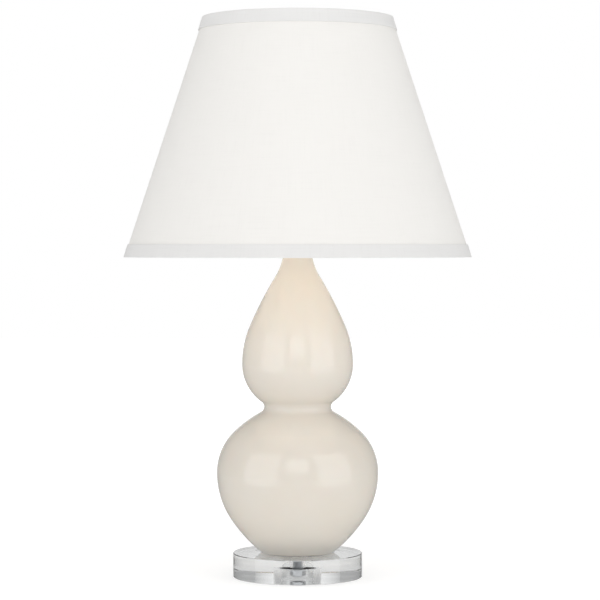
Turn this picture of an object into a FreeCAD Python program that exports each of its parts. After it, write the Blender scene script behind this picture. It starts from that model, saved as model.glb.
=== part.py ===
"""Double gourd table lamp: a glazed ceramic body on a clear round base, under an empire shade.

Millimetres, +Z up. The origin is on the axis, at the level of the surface the lamp stands on.
The front is -Y. The harp stands in the XZ plane, the switch knob points to the front and the
cord leaves at the back. Each piece is turned or extruded in its own frame, whose height zero is
the face that the piece rests on, and its Placement carries it to that level.
"""
import FreeCAD, Part

import cmath
import math
import os
import re

import Sketcher

Vector = FreeCAD.Vector
Constraint = Sketcher.Constraint

# Every size that can be set by itself, in millimetres, degrees or a count.
SIZES = {
    # clearances
    "seam_gap": 0.1,
    "thread_gap": 0.1,
    "slip_gap": 0.3,
    # clear base
    "base_diameter": 131.6,
    "base_thickness": 24.4,
    "base_bevel": 0.6,
    "counterbore_diameter": 33.0,
    "counterbore_depth": 11.0,
    "pipe_hole_gap": 0.6,
    "bumper_diameter": 10.0,
    "bumper_height": 1.0,
    "bumper_inset": 11.0,
    "bumper_count": 4,
    # cord outlet in the base
    "outlet_height": 6.8,
    "bushing_bore": 6.4,
    "bushing_wall": 0.7,
    "bushing_length": 14.0,
    "bushing_flange_diameter": 11.0,
    "bushing_flange_thickness": 1.5,
    "bushing_sink": 0.4,
    # pipe and its fasteners
    "pipe_diameter": 9.7,
    "pipe_bore": 6.6,
    "pipe_past_nut": 1.0,
    "pipe_into_socket": 4.6,
    "pipe_bevel": 0.5,
    "base_washer_diameter": 25.4,
    "base_washer_thickness": 1.6,
    "lock_washer_diameter": 16.0,
    "lock_washer_thickness": 1.6,
    "nut_across_flats": 14.3,
    "nut_height": 4.8,
    # gourd, heights counted from the foot
    "gasket_diameter": 64.0,
    "gasket_thickness": 0.6,
    "foot_diameter": 71.46,
    "foot_rounding": 4.0,
    "belly_diameter": 164.66,
    "waist_diameter": 68.18,
    "crown_diameter": 113.38,
    "neck_diameter": 28.34,
    "foot_to_belly": 81.0,
    "belly_to_waist": 66.85,
    "waist_to_crown": 43.84,
    "crown_to_neck": 118.31,
    "lip_height": 2.4,
    "belly_lower_radius": 85.0,
    "belly_lower_turn": 33.5,
    "belly_upper_radius": 57.82,
    "belly_upper_turn": 46.3,
    "waist_radius": 6.0,
    "flank_radius": 97.64,
    "flank_turn": 23.3,
    "neck_radius": 54.24,
    "gourd_wall": 4.5,
    "gourd_floor": 6.0,
    # neck fittings
    "plug_flange_thickness": 1.6,
    "plug_spigot_length": 7.0,
    "plug_edge": 0.4,
    "cap_thickness": 1.0,
    "cap_skirt": 4.0,
    "cap_bead": 0.8,
    "check_ring_diameter": 22.0,
    "check_ring_height": 2.8,
    "check_ring_bevel": 0.8,
    # harp
    "saddle_thickness": 1.6,
    "saddle_width": 14.0,
    "saddle_overhang": 4.0,
    "saddle_end_radius": 10.0,
    "harp_wire": 3.2,
    "harp_foot_spread": 54.0,
    "harp_width": 108.0,
    "harp_height": 195.4,
    "harp_foot_length": 16.0,
    "harp_foot_bend": 40.0,
    "harp_side_radius": 200.0,
    "post_height": 6.0,
    "sleeve_diameter": 7.2,
    "sleeve_length": 12.0,
    "sleeve_bevel": 0.6,
    "yoke_length": 14.0,
    "yoke_width": 7.0,
    "yoke_height": 6.0,
    "stud_diameter": 6.35,
    "stud_length": 11.6,
    "stud_bevel": 0.6,
    "shank_diameter": 4.8,
    "rivet_diameter": 8.0,
    "rivet_thickness": 1.2,
    "seat_diameter": 16.0,
    "seat_thickness": 1.5,
    "pilot_height": 1.6,
    # socket
    "socket_hub_diameter": 15.0,
    "socket_hub_height": 4.0,
    "socket_cap_dome": 12.0,
    "socket_cap_height": 14.0,
    "socket_cap_rim": 4.0,
    "socket_cap_wall": 0.8,
    "shell_diameter": 32.4,
    "shell_wall": 0.7,
    "shell_bottom": 14.3,
    "shell_height": 43.7,
    "liner_wall": 0.8,
    "liner_sink": 2.0,
    "core_flat": 22.0,
    "core_bottom": 15.0,
    "core_height": 15.0,
    "core_flange": 4.0,
    "screw_shell_wall": 0.4,
    "screw_shell_height": 22.0,
    "screw_shell_hole": 16.0,
    "contact_width": 5.0,
    "contact_thickness": 0.5,
    "contact_rise": 1.5,
    "contact_back": 6.5,
    "contact_front": 3.5,
    "contact_foot": 4.0,
    "contact_slope": 2.0,
    "set_screw_diameter": 2.6,
    "set_screw_height": 2.0,
    "set_screw_head": 3.4,
    "set_screw_head_length": 1.6,
    "terminal_diameter": 3.4,
    "terminal_length": 5.0,
    "terminal_head": 6.0,
    "terminal_head_length": 1.8,
    "terminal_height": 20.5,
    # switch
    "switch_height": 22.5,
    "cam_diameter": 8.0,
    "cam_length": 8.0,
    "cam_play": 0.5,
    "cam_start": 4.6,
    "spindle_diameter": 3.2,
    "knob_grip": 9.6,
    "knob_diameter": 11.0,
    "knob_length": 13.0,
    "knob_taper": 1.0,
    "knob_rounding": 1.5,
    "knob_stand_off": 1.6,
    "switch_hole_diameter": 7.0,
    # bulb, heights counted from the tip of its contact
    "bulb_diameter": 60.0,
    "bulb_length": 110.0,
    "bulb_neck_diameter": 27.2,
    "bulb_neck_top": 28.2,
    "bulb_wall": 0.8,
    "bulb_shoulder": 1.0,
    "bulb_shoulder_drop": 1.0,
    "bulb_tail": 18.0,
    "bulb_cap_diameter": 26.0,
    "bulb_cap_wall": 0.4,
    "bulb_cap_top": 26.0,
    "bulb_cap_corner": 6.5,
    "bulb_cap_bottom": 4.2,
    "insulator_diameter": 19.0,
    "tip_diameter": 9.0,
    "tip_height": 1.2,
    "tip_bevel": 0.6,
    "stem_foot_height": 1.2,
    "stem_waist_diameter": 6.0,
    "stem_waist_height": 34.0,
    "stem_flare_radius": 20.0,
    "stem_top": 66.0,
    "stem_button_diameter": 16.0,
    "stem_button_height": 2.0,
    "filament_wire": 0.8,
    "filament_radius": 14.0,
    "filament_spread": 14.0,
    # shade
    "shade_top_diameter": 192.4,
    "shade_bottom_diameter": 351.8,
    "shade_height": 242.6,
    "shade_recess": 18.1,
    "fabric_thickness": 0.6,
    "styrene_thickness": 0.5,
    "trim_height": 12.4,
    "trim_thickness": 1.2,
    "trim_fold": 6.0,
    "trim_fold_thickness": 0.8,
    "ring_wire": 2.8,
    "spider_washer_diameter": 24.0,
    "spider_washer_bore": 11.1,
    "spider_washer_thickness": 2.0,
    "arm_wire": 2.4,
    "arm_bend": 6.0,
    "arm_count": 3,
    # finial
    "finial_height": 24.0,
    "finial_base_diameter": 15.0,
    "finial_base_height": 2.4,
    "finial_neck_diameter": 11.6,
    "finial_neck_height": 6.0,
    "finial_bulge": 5.3,
    "finial_tip_diameter": 6.0,
    "finial_tip_height": 1.6,
    "finial_tip_bevel": 0.8,
    "finial_bore_room": 2.1,
    "insert_wall": 1.3,
    "insert_length": 9.0,
    "insert_inset": 0.8,
}

# Sizes and levels that follow from the ones above, each an expression.
LEVELS = {
    "base_top": "bumper_height + base_thickness",
    "foot_level": "base_top + gasket_thickness",
    "belly_level": "foot_level + foot_to_belly",
    "waist_level": "belly_level + belly_to_waist",
    "crown_level": "waist_level + waist_to_crown",
    "neck_level": "crown_level + crown_to_neck",
    "gourd_top": "neck_level + lip_height",
    "cap_level": "gourd_top + plug_flange_thickness",
    "cap_nut_level": "cap_level + cap_thickness",
    "check_ring_level": "cap_nut_level + nut_height",
    "saddle_level": "check_ring_level + check_ring_height",
    "socket_level": "saddle_level + saddle_thickness",
    "leg_level": "socket_level + post_height",
    "seat_level": "leg_level + harp_height",
    "washer_top": "seat_level + spider_washer_thickness",
    "counterbore_ceiling": "bumper_height + counterbore_depth",
    "base_washer_level": "counterbore_ceiling - base_washer_thickness",
    "lock_washer_level": "base_washer_level - lock_washer_thickness",
    "base_nut_level": "lock_washer_level - nut_height",
    "pipe_level": "base_nut_level - pipe_past_nut",
    "outlet_level": "bumper_height + outlet_height",
    "thread_bore": "pipe_diameter / 2 + thread_gap",
    "lip_bore": "neck_diameter / 2 - gourd_wall",
    "cap_bore": "neck_diameter / 2 + slip_gap",
    "outlet_radius": "bushing_bore / 2 + bushing_wall",
    "bushing_seat": "base_diameter / 2 - bushing_sink - bushing_flange_thickness",
    "shell_bore": "shell_diameter / 2 - shell_wall",
    "liner_radius": "shell_bore - slip_gap",
    "liner_bore": "liner_radius - liner_wall",
    "core_radius": "liner_bore - slip_gap",
    "core_top": "core_bottom + core_height",
    "screw_shell_bore": "bulb_cap_diameter / 2 + slip_gap",
    "contact_top": "core_top + contact_rise + contact_thickness",
    "bulb_level": "socket_level + contact_top",
    "spindle_length": "shell_diameter / 2 + knob_stand_off + knob_grip - cam_start",
    "knob_start": "shell_diameter / 2 + knob_stand_off",
    "bulb_tail_radius": "bulb_cap_diameter / 2 - bulb_cap_wall - slip_gap",
    "bulb_centre": "bulb_length - bulb_diameter / 2",
    "yoke_top": "seat_thickness + slip_gap",
    "bow_height": "harp_height - yoke_top - yoke_height / 2",
    "sleeve_bore": "harp_wire / 2 + slip_gap",
    "shade_top": "seat_level + shade_recess",
    "shade_bottom": "shade_top - shade_height",
    "shade_slope": "(shade_bottom_diameter - shade_top_diameter) / 2 / shade_height",
    "shade_slant": "sqrt(1 + shade_slope ^ 2)",
    "shade_wall": "fabric_thickness + seam_gap + styrene_thickness",
    "ring_set": "ring_wire / 2 + seam_gap",
    "top_ring_radius": "shade_top_diameter / 2 + ring_set * (shade_slope - shade_slant) - shade_wall",
    "bottom_ring_radius": "shade_bottom_diameter / 2 - ring_set * (shade_slope + shade_slant) - shade_wall",
    "arm_rise": "shade_recess - ring_set - ring_wire / 2 - spider_washer_thickness / 2",
    "insert_bore": "stud_diameter / 2 + thread_gap",
    "insert_radius": "insert_bore + insert_wall",
    "finial_level": "washer_top + slip_gap",
    "finial_tip_level": "finial_height - finial_tip_height",
    "finial_bore_depth": "pilot_height + stud_length - spider_washer_thickness - slip_gap"
                         " + finial_bore_room",
    "finial_ball_chord": "sqrt(((finial_neck_diameter - finial_tip_diameter) / 2) ^ 2"
                         " + (finial_tip_level - finial_neck_height) ^ 2)",
    "finial_ball_radius": "finial_ball_chord ^ 2 / (8 * finial_bulge) + finial_bulge / 2",
    "filament_level": "stem_top + filament_wire / 2 + sqrt(filament_radius ^ 2 - (filament_spread / 2) ^ 2)",
}

WORD = re.compile(r"[a-z]\w+")

# Ways for a piece's own axis to point.
UPRIGHT = FreeCAD.Rotation()
FRONT = FreeCAD.Rotation(Vector(1, 0, 0), 90)
BACK = FreeCAD.Rotation(Vector(1, 0, 0), -90)
RIGHT = FreeCAD.Rotation(Vector(0, 1, 0), 90)
FIRST_ARM_BACK = FreeCAD.Rotation(Vector(0, 0, 1), 90)

doc = FreeCAD.newDocument("DoubleGourdLamp")
sheet = doc.addObject("Spreadsheet::Sheet", "Sizes")
for row, (alias, number) in enumerate(SIZES.items(), start=1):
    sheet.set(f"A{row}", alias)
    sheet.set(f"B{row}", str(number))
    sheet.setAlias(f"B{row}", alias)
doc.recompute()

sub_parts = []


def bound(text):
    """Spells an expression out, with each size read from the sheet."""
    def spell(match):
        word = match.group()
        if word in LEVELS:
            return f"({bound(LEVELS[word])})"
        return f"Sizes.{word}" if word in SIZES else word
    return WORD.sub(spell, text)


def value(text):
    """Number that an expression has now."""
    return float(sheet.evalExpression(bound(text)))


def keep(piece, label):
    """Names a finished sub-part and lists it for writing."""
    piece.Label = label
    sub_parts.append(piece)
    return piece


def place(piece, across="0", back="0", up="0", aim=UPRIGHT):
    """Binds where a piece stands; aim turns it about its own origin first."""
    piece.Placement = FreeCAD.Placement(Vector(), aim)
    for axis, text in zip("xyz", (across, back, up)):
        piece.setExpression(f"Placement.Base.{axis}", bound(text))


# ------------------------------------------------------------------ sketches

def new_body(name):
    """An empty body with its origin ready."""
    body = doc.addObject("PartDesign::Body", name)
    doc.recompute()
    return body


def origin_feature(body, role):
    """Plane or axis of the body's own origin."""
    return next(feature for feature in body.Origin.OriginFeatures if feature.Role == role)


def new_sketch(body, name, plane, offset=None):
    """Sketch on one of the body's origin planes, or a bound distance in front of it."""
    sketch = body.newObject("Sketcher::SketchObject", name)
    sketch.AttachmentSupport = [(origin_feature(body, plane), "")]
    sketch.MapMode = "FlatFace"
    if offset:
        sketch.setExpression("AttachmentOffset.Base.z", bound(offset))
    return sketch


def size(sketch, kind, text, *places):
    """Adds a constraint whose value is an expression."""
    index = sketch.addConstraint(Constraint(kind, *places, value(text)))
    sketch.setExpression(f"Constraints[{index}]", bound(text))


def pin(sketch, edge, spot, across=None, up=None):
    """Ties a spot of an edge (1 start, 2 end, 3 centre) to its place in the sketch."""
    for kind, text, axis in (("DistanceX", across, -2), ("DistanceY", up, -1)):
        if text == "0":
            sketch.addConstraint(Constraint("PointOnObject", edge, spot, axis))
        elif text:
            size(sketch, kind, text, -1, 1, edge, spot)


def spot_at(across, up):
    """Complex number of a place in a sketch."""
    return complex(value(across), value(up))


def vector(spot):
    return Vector(spot.real, spot.imag, 0)


def add_line(sketch, start, end):
    return sketch.addGeometry(Part.LineSegment(vector(start), vector(end)))


def add_arc(sketch, centre, radius, low, high):
    """Arc between two spots; a negative radius bends it round a centre outside the wall."""
    first, last = (low, high) if radius > 0 else (high, low)
    circle = Part.Circle(vector(centre), Vector(0, 0, 1), abs(radius))
    turns = [cmath.phase(spot - centre) for spot in (first, last)]
    return sketch.addGeometry(Part.ArcOfCircle(circle, *turns))


def add_circle(sketch, across, up, radius):
    """Full circle with a bound centre and radius."""
    circle = Part.Circle(vector(spot_at(across, up)), Vector(0, 0, 1), value(radius))
    edge = sketch.addGeometry(circle)
    if across == up == "0":
        sketch.addConstraint(Constraint("Coincident", edge, 3, -1, 1))
    else:
        pin(sketch, edge, 3, across, up)
    size(sketch, "Radius", radius, edge)


def outline(sketch, corners):
    """Closed outline through corners (across, up) or (across, up, radius).

    A third entry makes the edge that leaves the corner an arc. The outline runs anticlockwise,
    so a positive radius swells it and a negative one hollows it.
    """
    spots = [spot_at(*corner[:2]) for corner in corners]
    first = sketch.GeometryCount
    for place_now, corner in enumerate(corners):
        start = spots[place_now]
        end = spots[(place_now + 1) % len(spots)]
        if len(corner) == 2:
            add_line(sketch, start, end)
            continue
        radius = value(corner[2])
        half = (end - start) / 2
        rise = math.copysign(math.sqrt(radius ** 2 - abs(half) ** 2), radius)
        centre = start + half + half / abs(half) * rise * 1j
        edge = add_arc(sketch, centre, radius, start, end)
        size(sketch, "Radius", corner[2].lstrip("-"), edge)
    starts = [2 if len(corner) == 3 and corner[2].startswith("-") else 1 for corner in corners]
    for place_now, corner in enumerate(corners):
        edge = first + place_now
        after = (place_now + 1) % len(corners)
        start = starts[place_now]
        sketch.addConstraint(Constraint("Coincident", edge, 3 - start, first + after, starts[after]))
        pin(sketch, edge, start, *corner[:2])


# ------------------------------------------------------------------ ways of making a piece

def turn_sketch(body, sketch, axis="V_Axis"):
    """Revolves a sketch a full turn about one of its own axes."""
    turning = body.newObject("PartDesign::Revolution", f"{body.Name}Turning")
    turning.Profile = sketch
    turning.ReferenceAxis = (sketch, [axis])
    turning.Angle = 360
    return turning


def turned_body(name, corners, **where):
    """Piece turned on its own axis from an outline of radius and height."""
    body = new_body(name)
    sketch = new_sketch(body, f"{name}Outline", "XZ_Plane")
    outline(sketch, corners)
    turn_sketch(body, sketch)
    place(body, **where)
    return body


def turned(label, corners, **where):
    """Turned piece that is a whole sub-part."""
    return keep(turned_body(label, corners, **where), label)


def extruded(body, sketch, height, midplane=False):
    """Pads a sketch to a bound height."""
    pad = body.newObject("PartDesign::Pad", f"{sketch.Name}Pad")
    pad.Profile = sketch
    pad.setExpression("Length", bound(height))
    pad.Midplane = midplane
    return pad


def wire_along(body, path, section):
    """Round wire, its section swept along a path."""
    wire = body.newObject("PartDesign::AdditivePipe", f"{body.Name}Wire")
    wire.Profile = section
    wire.Spine = (path, [])
    return wire


def repeated(body, feature, count):
    """Copies a feature round the vertical axis."""
    pattern = body.newObject("PartDesign::PolarPattern", f"{body.Name}Pattern")
    pattern.Originals = [feature]
    pattern.Axis = (origin_feature(body, "Z_Axis"), [""])
    pattern.Angle = 360
    pattern.setExpression("Occurrences", bound(count))
    body.Tip = pattern


def mirrored(body, feature):
    """Copies a feature across the plane of the axis and the front."""
    mirror = body.newObject("PartDesign::Mirrored", f"{body.Name}Mirror")
    mirror.Originals = [feature]
    mirror.MirrorPlane = (origin_feature(body, "YZ_Plane"), [""])
    body.Tip = mirror


def rod(name, radius, length, **where):
    """Plain cylinder, for a hole or a round core."""
    cylinder = doc.addObject("Part::Cylinder", name)
    cylinder.setExpression("Radius", bound(radius))
    cylinder.setExpression("Height", bound(length))
    place(cylinder, **where)
    return cylinder


def block(name, across, back, height, **where):
    """Plain box centred on its place."""
    box = doc.addObject("Part::Box", name)
    box.setExpression("Length", bound(across))
    box.setExpression("Width", bound(back))
    box.setExpression("Height", bound(height))
    place(box, f"-({across}) / 2", f"-({back}) / 2", **where)
    return box


def combined(kind, name, base, tool):
    """Boolean of two objects: Cut, Fuse or Common."""
    result = doc.addObject(f"Part::{kind}", name)
    result.Base = base
    result.Tool = tool
    return result


# ------------------------------------------------------------------ clear base

def base_disc():
    """Polished clear disc with a hole, a counterbore below and a radial way for the cord."""
    bore = "pipe_diameter / 2 + pipe_hole_gap"
    edge = "base_diameter / 2"
    disc = turned_body("DiscBlank", [
        (bore, "counterbore_depth"),
        ("counterbore_diameter / 2", "counterbore_depth"),
        ("counterbore_diameter / 2", "0"),
        (f"{edge} - base_bevel", "0"),
        (edge, "base_bevel"),
        (edge, "base_thickness - base_bevel"),
        (f"{edge} - base_bevel", "base_thickness"),
        (bore, "base_thickness"),
    ], up="bumper_height")
    way = rod("CordWay", "outlet_radius + seam_gap", "base_diameter", up="outlet_level", aim=BACK)
    seat = rod("BushingSeat", "bushing_flange_diameter / 2 + seam_gap", "base_diameter",
               back="bushing_seat", up="outlet_level", aim=BACK)
    with_way = combined("Cut", "DiscWithWay", disc, way)
    keep(combined("Cut", "DiscWithSeat", with_way, seat), "base_disc")


def base_bumpers():
    """Soft clear bumpers stuck under the disc."""
    body = new_body("Bumpers")
    sketch = new_sketch(body, "BumperOutline", "XY_Plane")
    ring = "(base_diameter / 2 - bumper_inset) * cos(45)"
    add_circle(sketch, ring, ring, "bumper_diameter / 2")
    repeated(body, extruded(body, sketch, "bumper_height"), "bumper_count")
    place(body)
    keep(body, "base_bumpers")


def cord_bushing():
    """Flanged bushing that lines the cord's way out."""
    turned("cord_bushing", [
        ("bushing_bore / 2", "-bushing_length"),
        ("outlet_radius", "-bushing_length"),
        ("outlet_radius", "0"),
        ("bushing_flange_diameter / 2", "0"),
        ("bushing_flange_diameter / 2", "bushing_flange_thickness"),
        ("bushing_bore / 2", "bushing_flange_thickness"),
    ], back="bushing_seat", up="outlet_level", aim=BACK)


# ------------------------------------------------------------------ pipe and fasteners

def washer(label, diameter, thickness, level, bore="thread_bore"):
    """Plain round washer."""
    turned(label, [
        (bore, "0"),
        (f"{diameter} / 2", "0"),
        (f"{diameter} / 2", thickness),
        (bore, thickness),
    ], up=level)


def lamp_pipe():
    """Threaded pipe from under the base to the socket."""
    length = "socket_level + pipe_into_socket - pipe_level"
    radius = "pipe_diameter / 2"
    turned("lamp_pipe", [
        ("pipe_bore / 2", "0"),
        (f"{radius} - pipe_bevel", "0"),
        (radius, "pipe_bevel"),
        (radius, f"{length} - pipe_bevel"),
        (f"{radius} - pipe_bevel", length),
        ("pipe_bore / 2", length),
    ], up="pipe_level")


def lock_nuts():
    """The two like hexagon nuts that clamp base, gourd and neck fittings on the pipe."""
    body = new_body("Nuts")
    sketch = new_sketch(body, "NutOutline", "XY_Plane")
    flat = "nut_across_flats / 2"
    point = "nut_across_flats / sqrt(3)"
    outline(sketch, [
        (point, "0"),
        (f"{point} / 2", flat),
        (f"-{point} / 2", flat),
        (f"-{point}", "0"),
        (f"-{point} / 2", f"-{flat}"),
        (f"{point} / 2", f"-{flat}"),
    ])
    add_circle(sketch, "0", "0", "thread_bore")
    pad = extruded(body, sketch, "nut_height")
    pair = body.newObject("PartDesign::LinearPattern", "NutPair")
    pair.Originals = [pad]
    pair.Direction = (origin_feature(body, "Z_Axis"), [""])
    pair.setExpression("Length", bound("cap_nut_level - base_nut_level"))
    pair.Occurrences = 2
    body.Tip = pair
    place(body, up="base_nut_level")
    keep(body, "lock_nuts")


# ------------------------------------------------------------------ gourd

def arc_between(first, turn, last):
    """Arc that leaves the first where its normal has this turn, and touches the last.

    Each arc is a centre and a radius, negative where the wall is hollow.
    """
    gap = first[0] - last[0]
    step = first[1] - last[1]
    normal = cmath.rect(1, math.radians(turn))
    along = (gap * normal.conjugate()).real
    growth = (abs(gap) ** 2 - step ** 2) / (2 * (along + step))
    return first[0] - growth * normal, first[1] + growth


def gourd_arcs():
    """The ten arcs of the outer wall from foot to neck, as centres and radii."""
    foot = spot_at("foot_diameter / 2", "foot_level + foot_rounding"), value("foot_rounding")
    lower = spot_at("belly_diameter / 2 - belly_lower_radius", "belly_level"), value("belly_lower_radius")
    upper = spot_at("belly_diameter / 2 - belly_upper_radius", "belly_level"), value("belly_upper_radius")
    waist = spot_at("waist_diameter / 2 + waist_radius", "waist_level"), -value("waist_radius")
    step = value("(crown_diameter - waist_diameter) / 2")
    crown_radius = (step ** 2 + value("waist_to_crown") ** 2) / (2 * step) - value("waist_radius")
    crown = spot_at("crown_diameter / 2", "crown_level") - crown_radius, crown_radius
    flank = spot_at("crown_diameter / 2 - flank_radius", "crown_level"), value("flank_radius")
    neck = spot_at("neck_diameter / 2 + neck_radius", "neck_level"), -value("neck_radius")
    taper = arc_between(lower, -value("belly_lower_turn"), foot)
    collar = arc_between(upper, value("belly_upper_turn"), waist)
    throat = arc_between(flank, value("flank_turn"), neck)
    return [foot, taper, lower, upper, collar, waist, crown, flank, throat, neck]


def gourd_wall(sketch, arcs, wall, start):
    """Draws a chain of arcs set in from the outer one; gives the edges from taper to neck."""
    inset = value(wall) if wall != "0" else 0
    radii = [radius - inset for _, radius in arcs]
    joints = [start]
    for (centre, radius), (next_centre, next_radius) in zip(arcs, arcs[1:]):
        normal = (centre - next_centre) / (next_radius - radius)
        joints.append(centre + (radius - inset) * normal)
    joints.append(arcs[-1][0] + radii[-1])
    edges = [add_arc(sketch, centre, radius, low, high)
             for (centre, _), radius, low, high in zip(arcs, radii, joints, joints[1:])]
    ends = [(1, 2) if radius > 0 else (2, 1) for radius in radii]
    for place_now in range(len(edges) - 1):
        sketch.addConstraint(Constraint("Tangent", edges[place_now], ends[place_now][1],
                                        edges[place_now + 1], ends[place_now + 1][0]))
    lower, upper, _, waist, crown, flank, _, neck = edges[-8:]
    size(sketch, "Radius", f"belly_lower_radius - {wall}", lower)
    size(sketch, "Radius", f"belly_upper_radius - {wall}", upper)
    size(sketch, "Radius", f"waist_radius + {wall}", waist)
    size(sketch, "Radius", f"flank_radius - {wall}", flank)
    size(sketch, "Radius", f"neck_radius + {wall}", neck)
    pin(sketch, lower, 1, up=f"belly_level - (belly_lower_radius - {wall}) * sin(belly_lower_turn)")
    pin(sketch, upper, 2, up=f"belly_level + (belly_upper_radius - {wall}) * sin(belly_upper_turn)")
    pin(sketch, flank, 2, up=f"crown_level + (flank_radius - {wall}) * sin(flank_turn)")
    pin(sketch, lower, 2, f"belly_diameter / 2 - {wall}", "belly_level")
    pin(sketch, waist, 3, "waist_diameter / 2 + waist_radius", "waist_level")
    pin(sketch, crown, 2, f"crown_diameter / 2 - {wall}", "crown_level")
    pin(sketch, neck, 1, f"neck_diameter / 2 - {wall}", "neck_level")
    for edge, spot in ((lower, 2), (flank, 1), (neck, 1)):
        sketch.addConstraint(Constraint("Horizontal", edge, 3, edge, spot))
    return edges


def gourd_body():
    """Slip-cast double gourd: outer wall, inner wall a wall's thickness in, flat floor."""
    body = new_body("Gourd")
    sketch = new_sketch(body, "GourdOutline", "XZ_Plane")
    arcs = gourd_arcs()
    bore = "pipe_diameter / 2 + pipe_hole_gap"
    floor = "foot_level + gourd_floor"
    foot_start = spot_at("foot_diameter / 2", "foot_level")
    outer = gourd_wall(sketch, arcs, "0", foot_start)
    size(sketch, "Radius", "foot_rounding", outer[0])
    pin(sketch, outer[0], 1, "foot_diameter / 2", "foot_level")
    sketch.addConstraint(Constraint("Vertical", outer[0], 3, outer[0], 1))

    taper_centre, taper_radius = arcs[1]
    inner_radius = taper_radius - value("gourd_wall")
    drop = taper_centre.imag - value(floor)
    floor_edge = complex(taper_centre.real + math.sqrt(inner_radius ** 2 - drop ** 2), value(floor))
    inner = gourd_wall(sketch, arcs[1:], "gourd_wall", floor_edge)
    pin(sketch, inner[0], 1, up=floor)
    sketch.addConstraint(Constraint("Horizontal", inner[0], 3, outer[1], 3))

    lip_outer = spot_at("neck_diameter / 2", "gourd_top")
    lip_inner = spot_at("lip_bore", "gourd_top")
    neck_outer = spot_at("neck_diameter / 2", "neck_level")
    neck_inner = spot_at("lip_bore", "neck_level")
    floor_bore = spot_at(bore, floor)
    foot_bore = spot_at(bore, "foot_level")
    lip = add_line(sketch, neck_outer, lip_outer)
    top = add_line(sketch, lip_outer, lip_inner)
    down = add_line(sketch, lip_inner, neck_inner)
    floor_line = add_line(sketch, floor_edge, floor_bore)
    hole = add_line(sketch, floor_bore, foot_bore)
    sole = add_line(sketch, foot_bore, foot_start)
    for meeting in (
        (outer[-1], 1, lip, 1),
        (lip, 2, top, 1),
        (top, 2, down, 1),
        (down, 2, inner[-1], 1),
        (inner[0], 1, floor_line, 1),
        (floor_line, 2, hole, 1),
        (hole, 2, sole, 1),
        (sole, 2, outer[0], 1),
    ):
        sketch.addConstraint(Constraint("Coincident", *meeting))
    pin(sketch, top, 1, "neck_diameter / 2", "gourd_top")
    pin(sketch, top, 2, "lip_bore", "gourd_top")
    pin(sketch, hole, 1, bore, floor)
    pin(sketch, hole, 2, bore, "foot_level")
    turn_sketch(body, sketch)
    place(body)
    keep(body, "gourd_body")


# ------------------------------------------------------------------ neck fittings

def neck_fittings():
    """Plug that centres the pipe in the neck, spun cap over the lip, and check ring."""
    turned("neck_plug", [
        ("thread_bore", "-plug_spigot_length"),
        ("lip_bore - slip_gap", "-plug_spigot_length"),
        ("lip_bore - slip_gap", "0"),
        ("neck_diameter / 2 - plug_edge", "0"),
        ("neck_diameter / 2 - plug_edge", "plug_flange_thickness"),
        ("thread_bore", "plug_flange_thickness"),
    ], up="gourd_top")
    outer = "cap_bore + cap_thickness"
    turned("vase_cap", [
        ("thread_bore", "0"),
        ("cap_bore", "0"),
        ("cap_bore", "-cap_skirt"),
        (f"{outer} + cap_bead", "-cap_skirt"),
        (f"{outer} + cap_bead", "-cap_skirt + cap_bead"),
        (outer, "-cap_skirt + 2 * cap_bead"),
        (outer, "0", "cap_thickness"),
        ("cap_bore", "cap_thickness"),
        ("thread_bore", "cap_thickness"),
    ], up="cap_level")
    turned("check_ring", [
        ("thread_bore", "0"),
        ("check_ring_diameter / 2 - check_ring_bevel", "0"),
        ("check_ring_diameter / 2", "check_ring_bevel"),
        ("check_ring_diameter / 2", "check_ring_height - check_ring_bevel"),
        ("check_ring_diameter / 2 - check_ring_bevel", "check_ring_height"),
        ("thread_bore", "check_ring_height"),
    ], up="check_ring_level")


# ------------------------------------------------------------------ harp

def harp_saddle():
    """Flat saddle with a post for each leg of the harp."""
    body = new_body("Saddle")
    plate = new_sketch(body, "SaddlePlate", "XY_Plane")
    spread = "harp_foot_spread / 2"
    reach = "(harp_foot_spread / 2 + saddle_overhang)"
    half = "saddle_width / 2"
    outline(plate, [
        (reach, f"-{half}", "saddle_end_radius"),
        (reach, half),
        (f"-{reach}", half, "saddle_end_radius"),
        (f"-{reach}", f"-{half}"),
    ])
    add_circle(plate, "0", "0", "thread_bore")
    extruded(body, plate, "saddle_thickness")
    posts = new_sketch(body, "SaddlePosts", "XY_Plane", offset="saddle_thickness")
    add_circle(posts, spread, "0", "harp_wire / 2")
    add_circle(posts, f"-{spread}", "0", "harp_wire / 2")
    extruded(body, posts, "post_height")
    place(body, up="saddle_level")
    keep(body, "harp_saddle")


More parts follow.
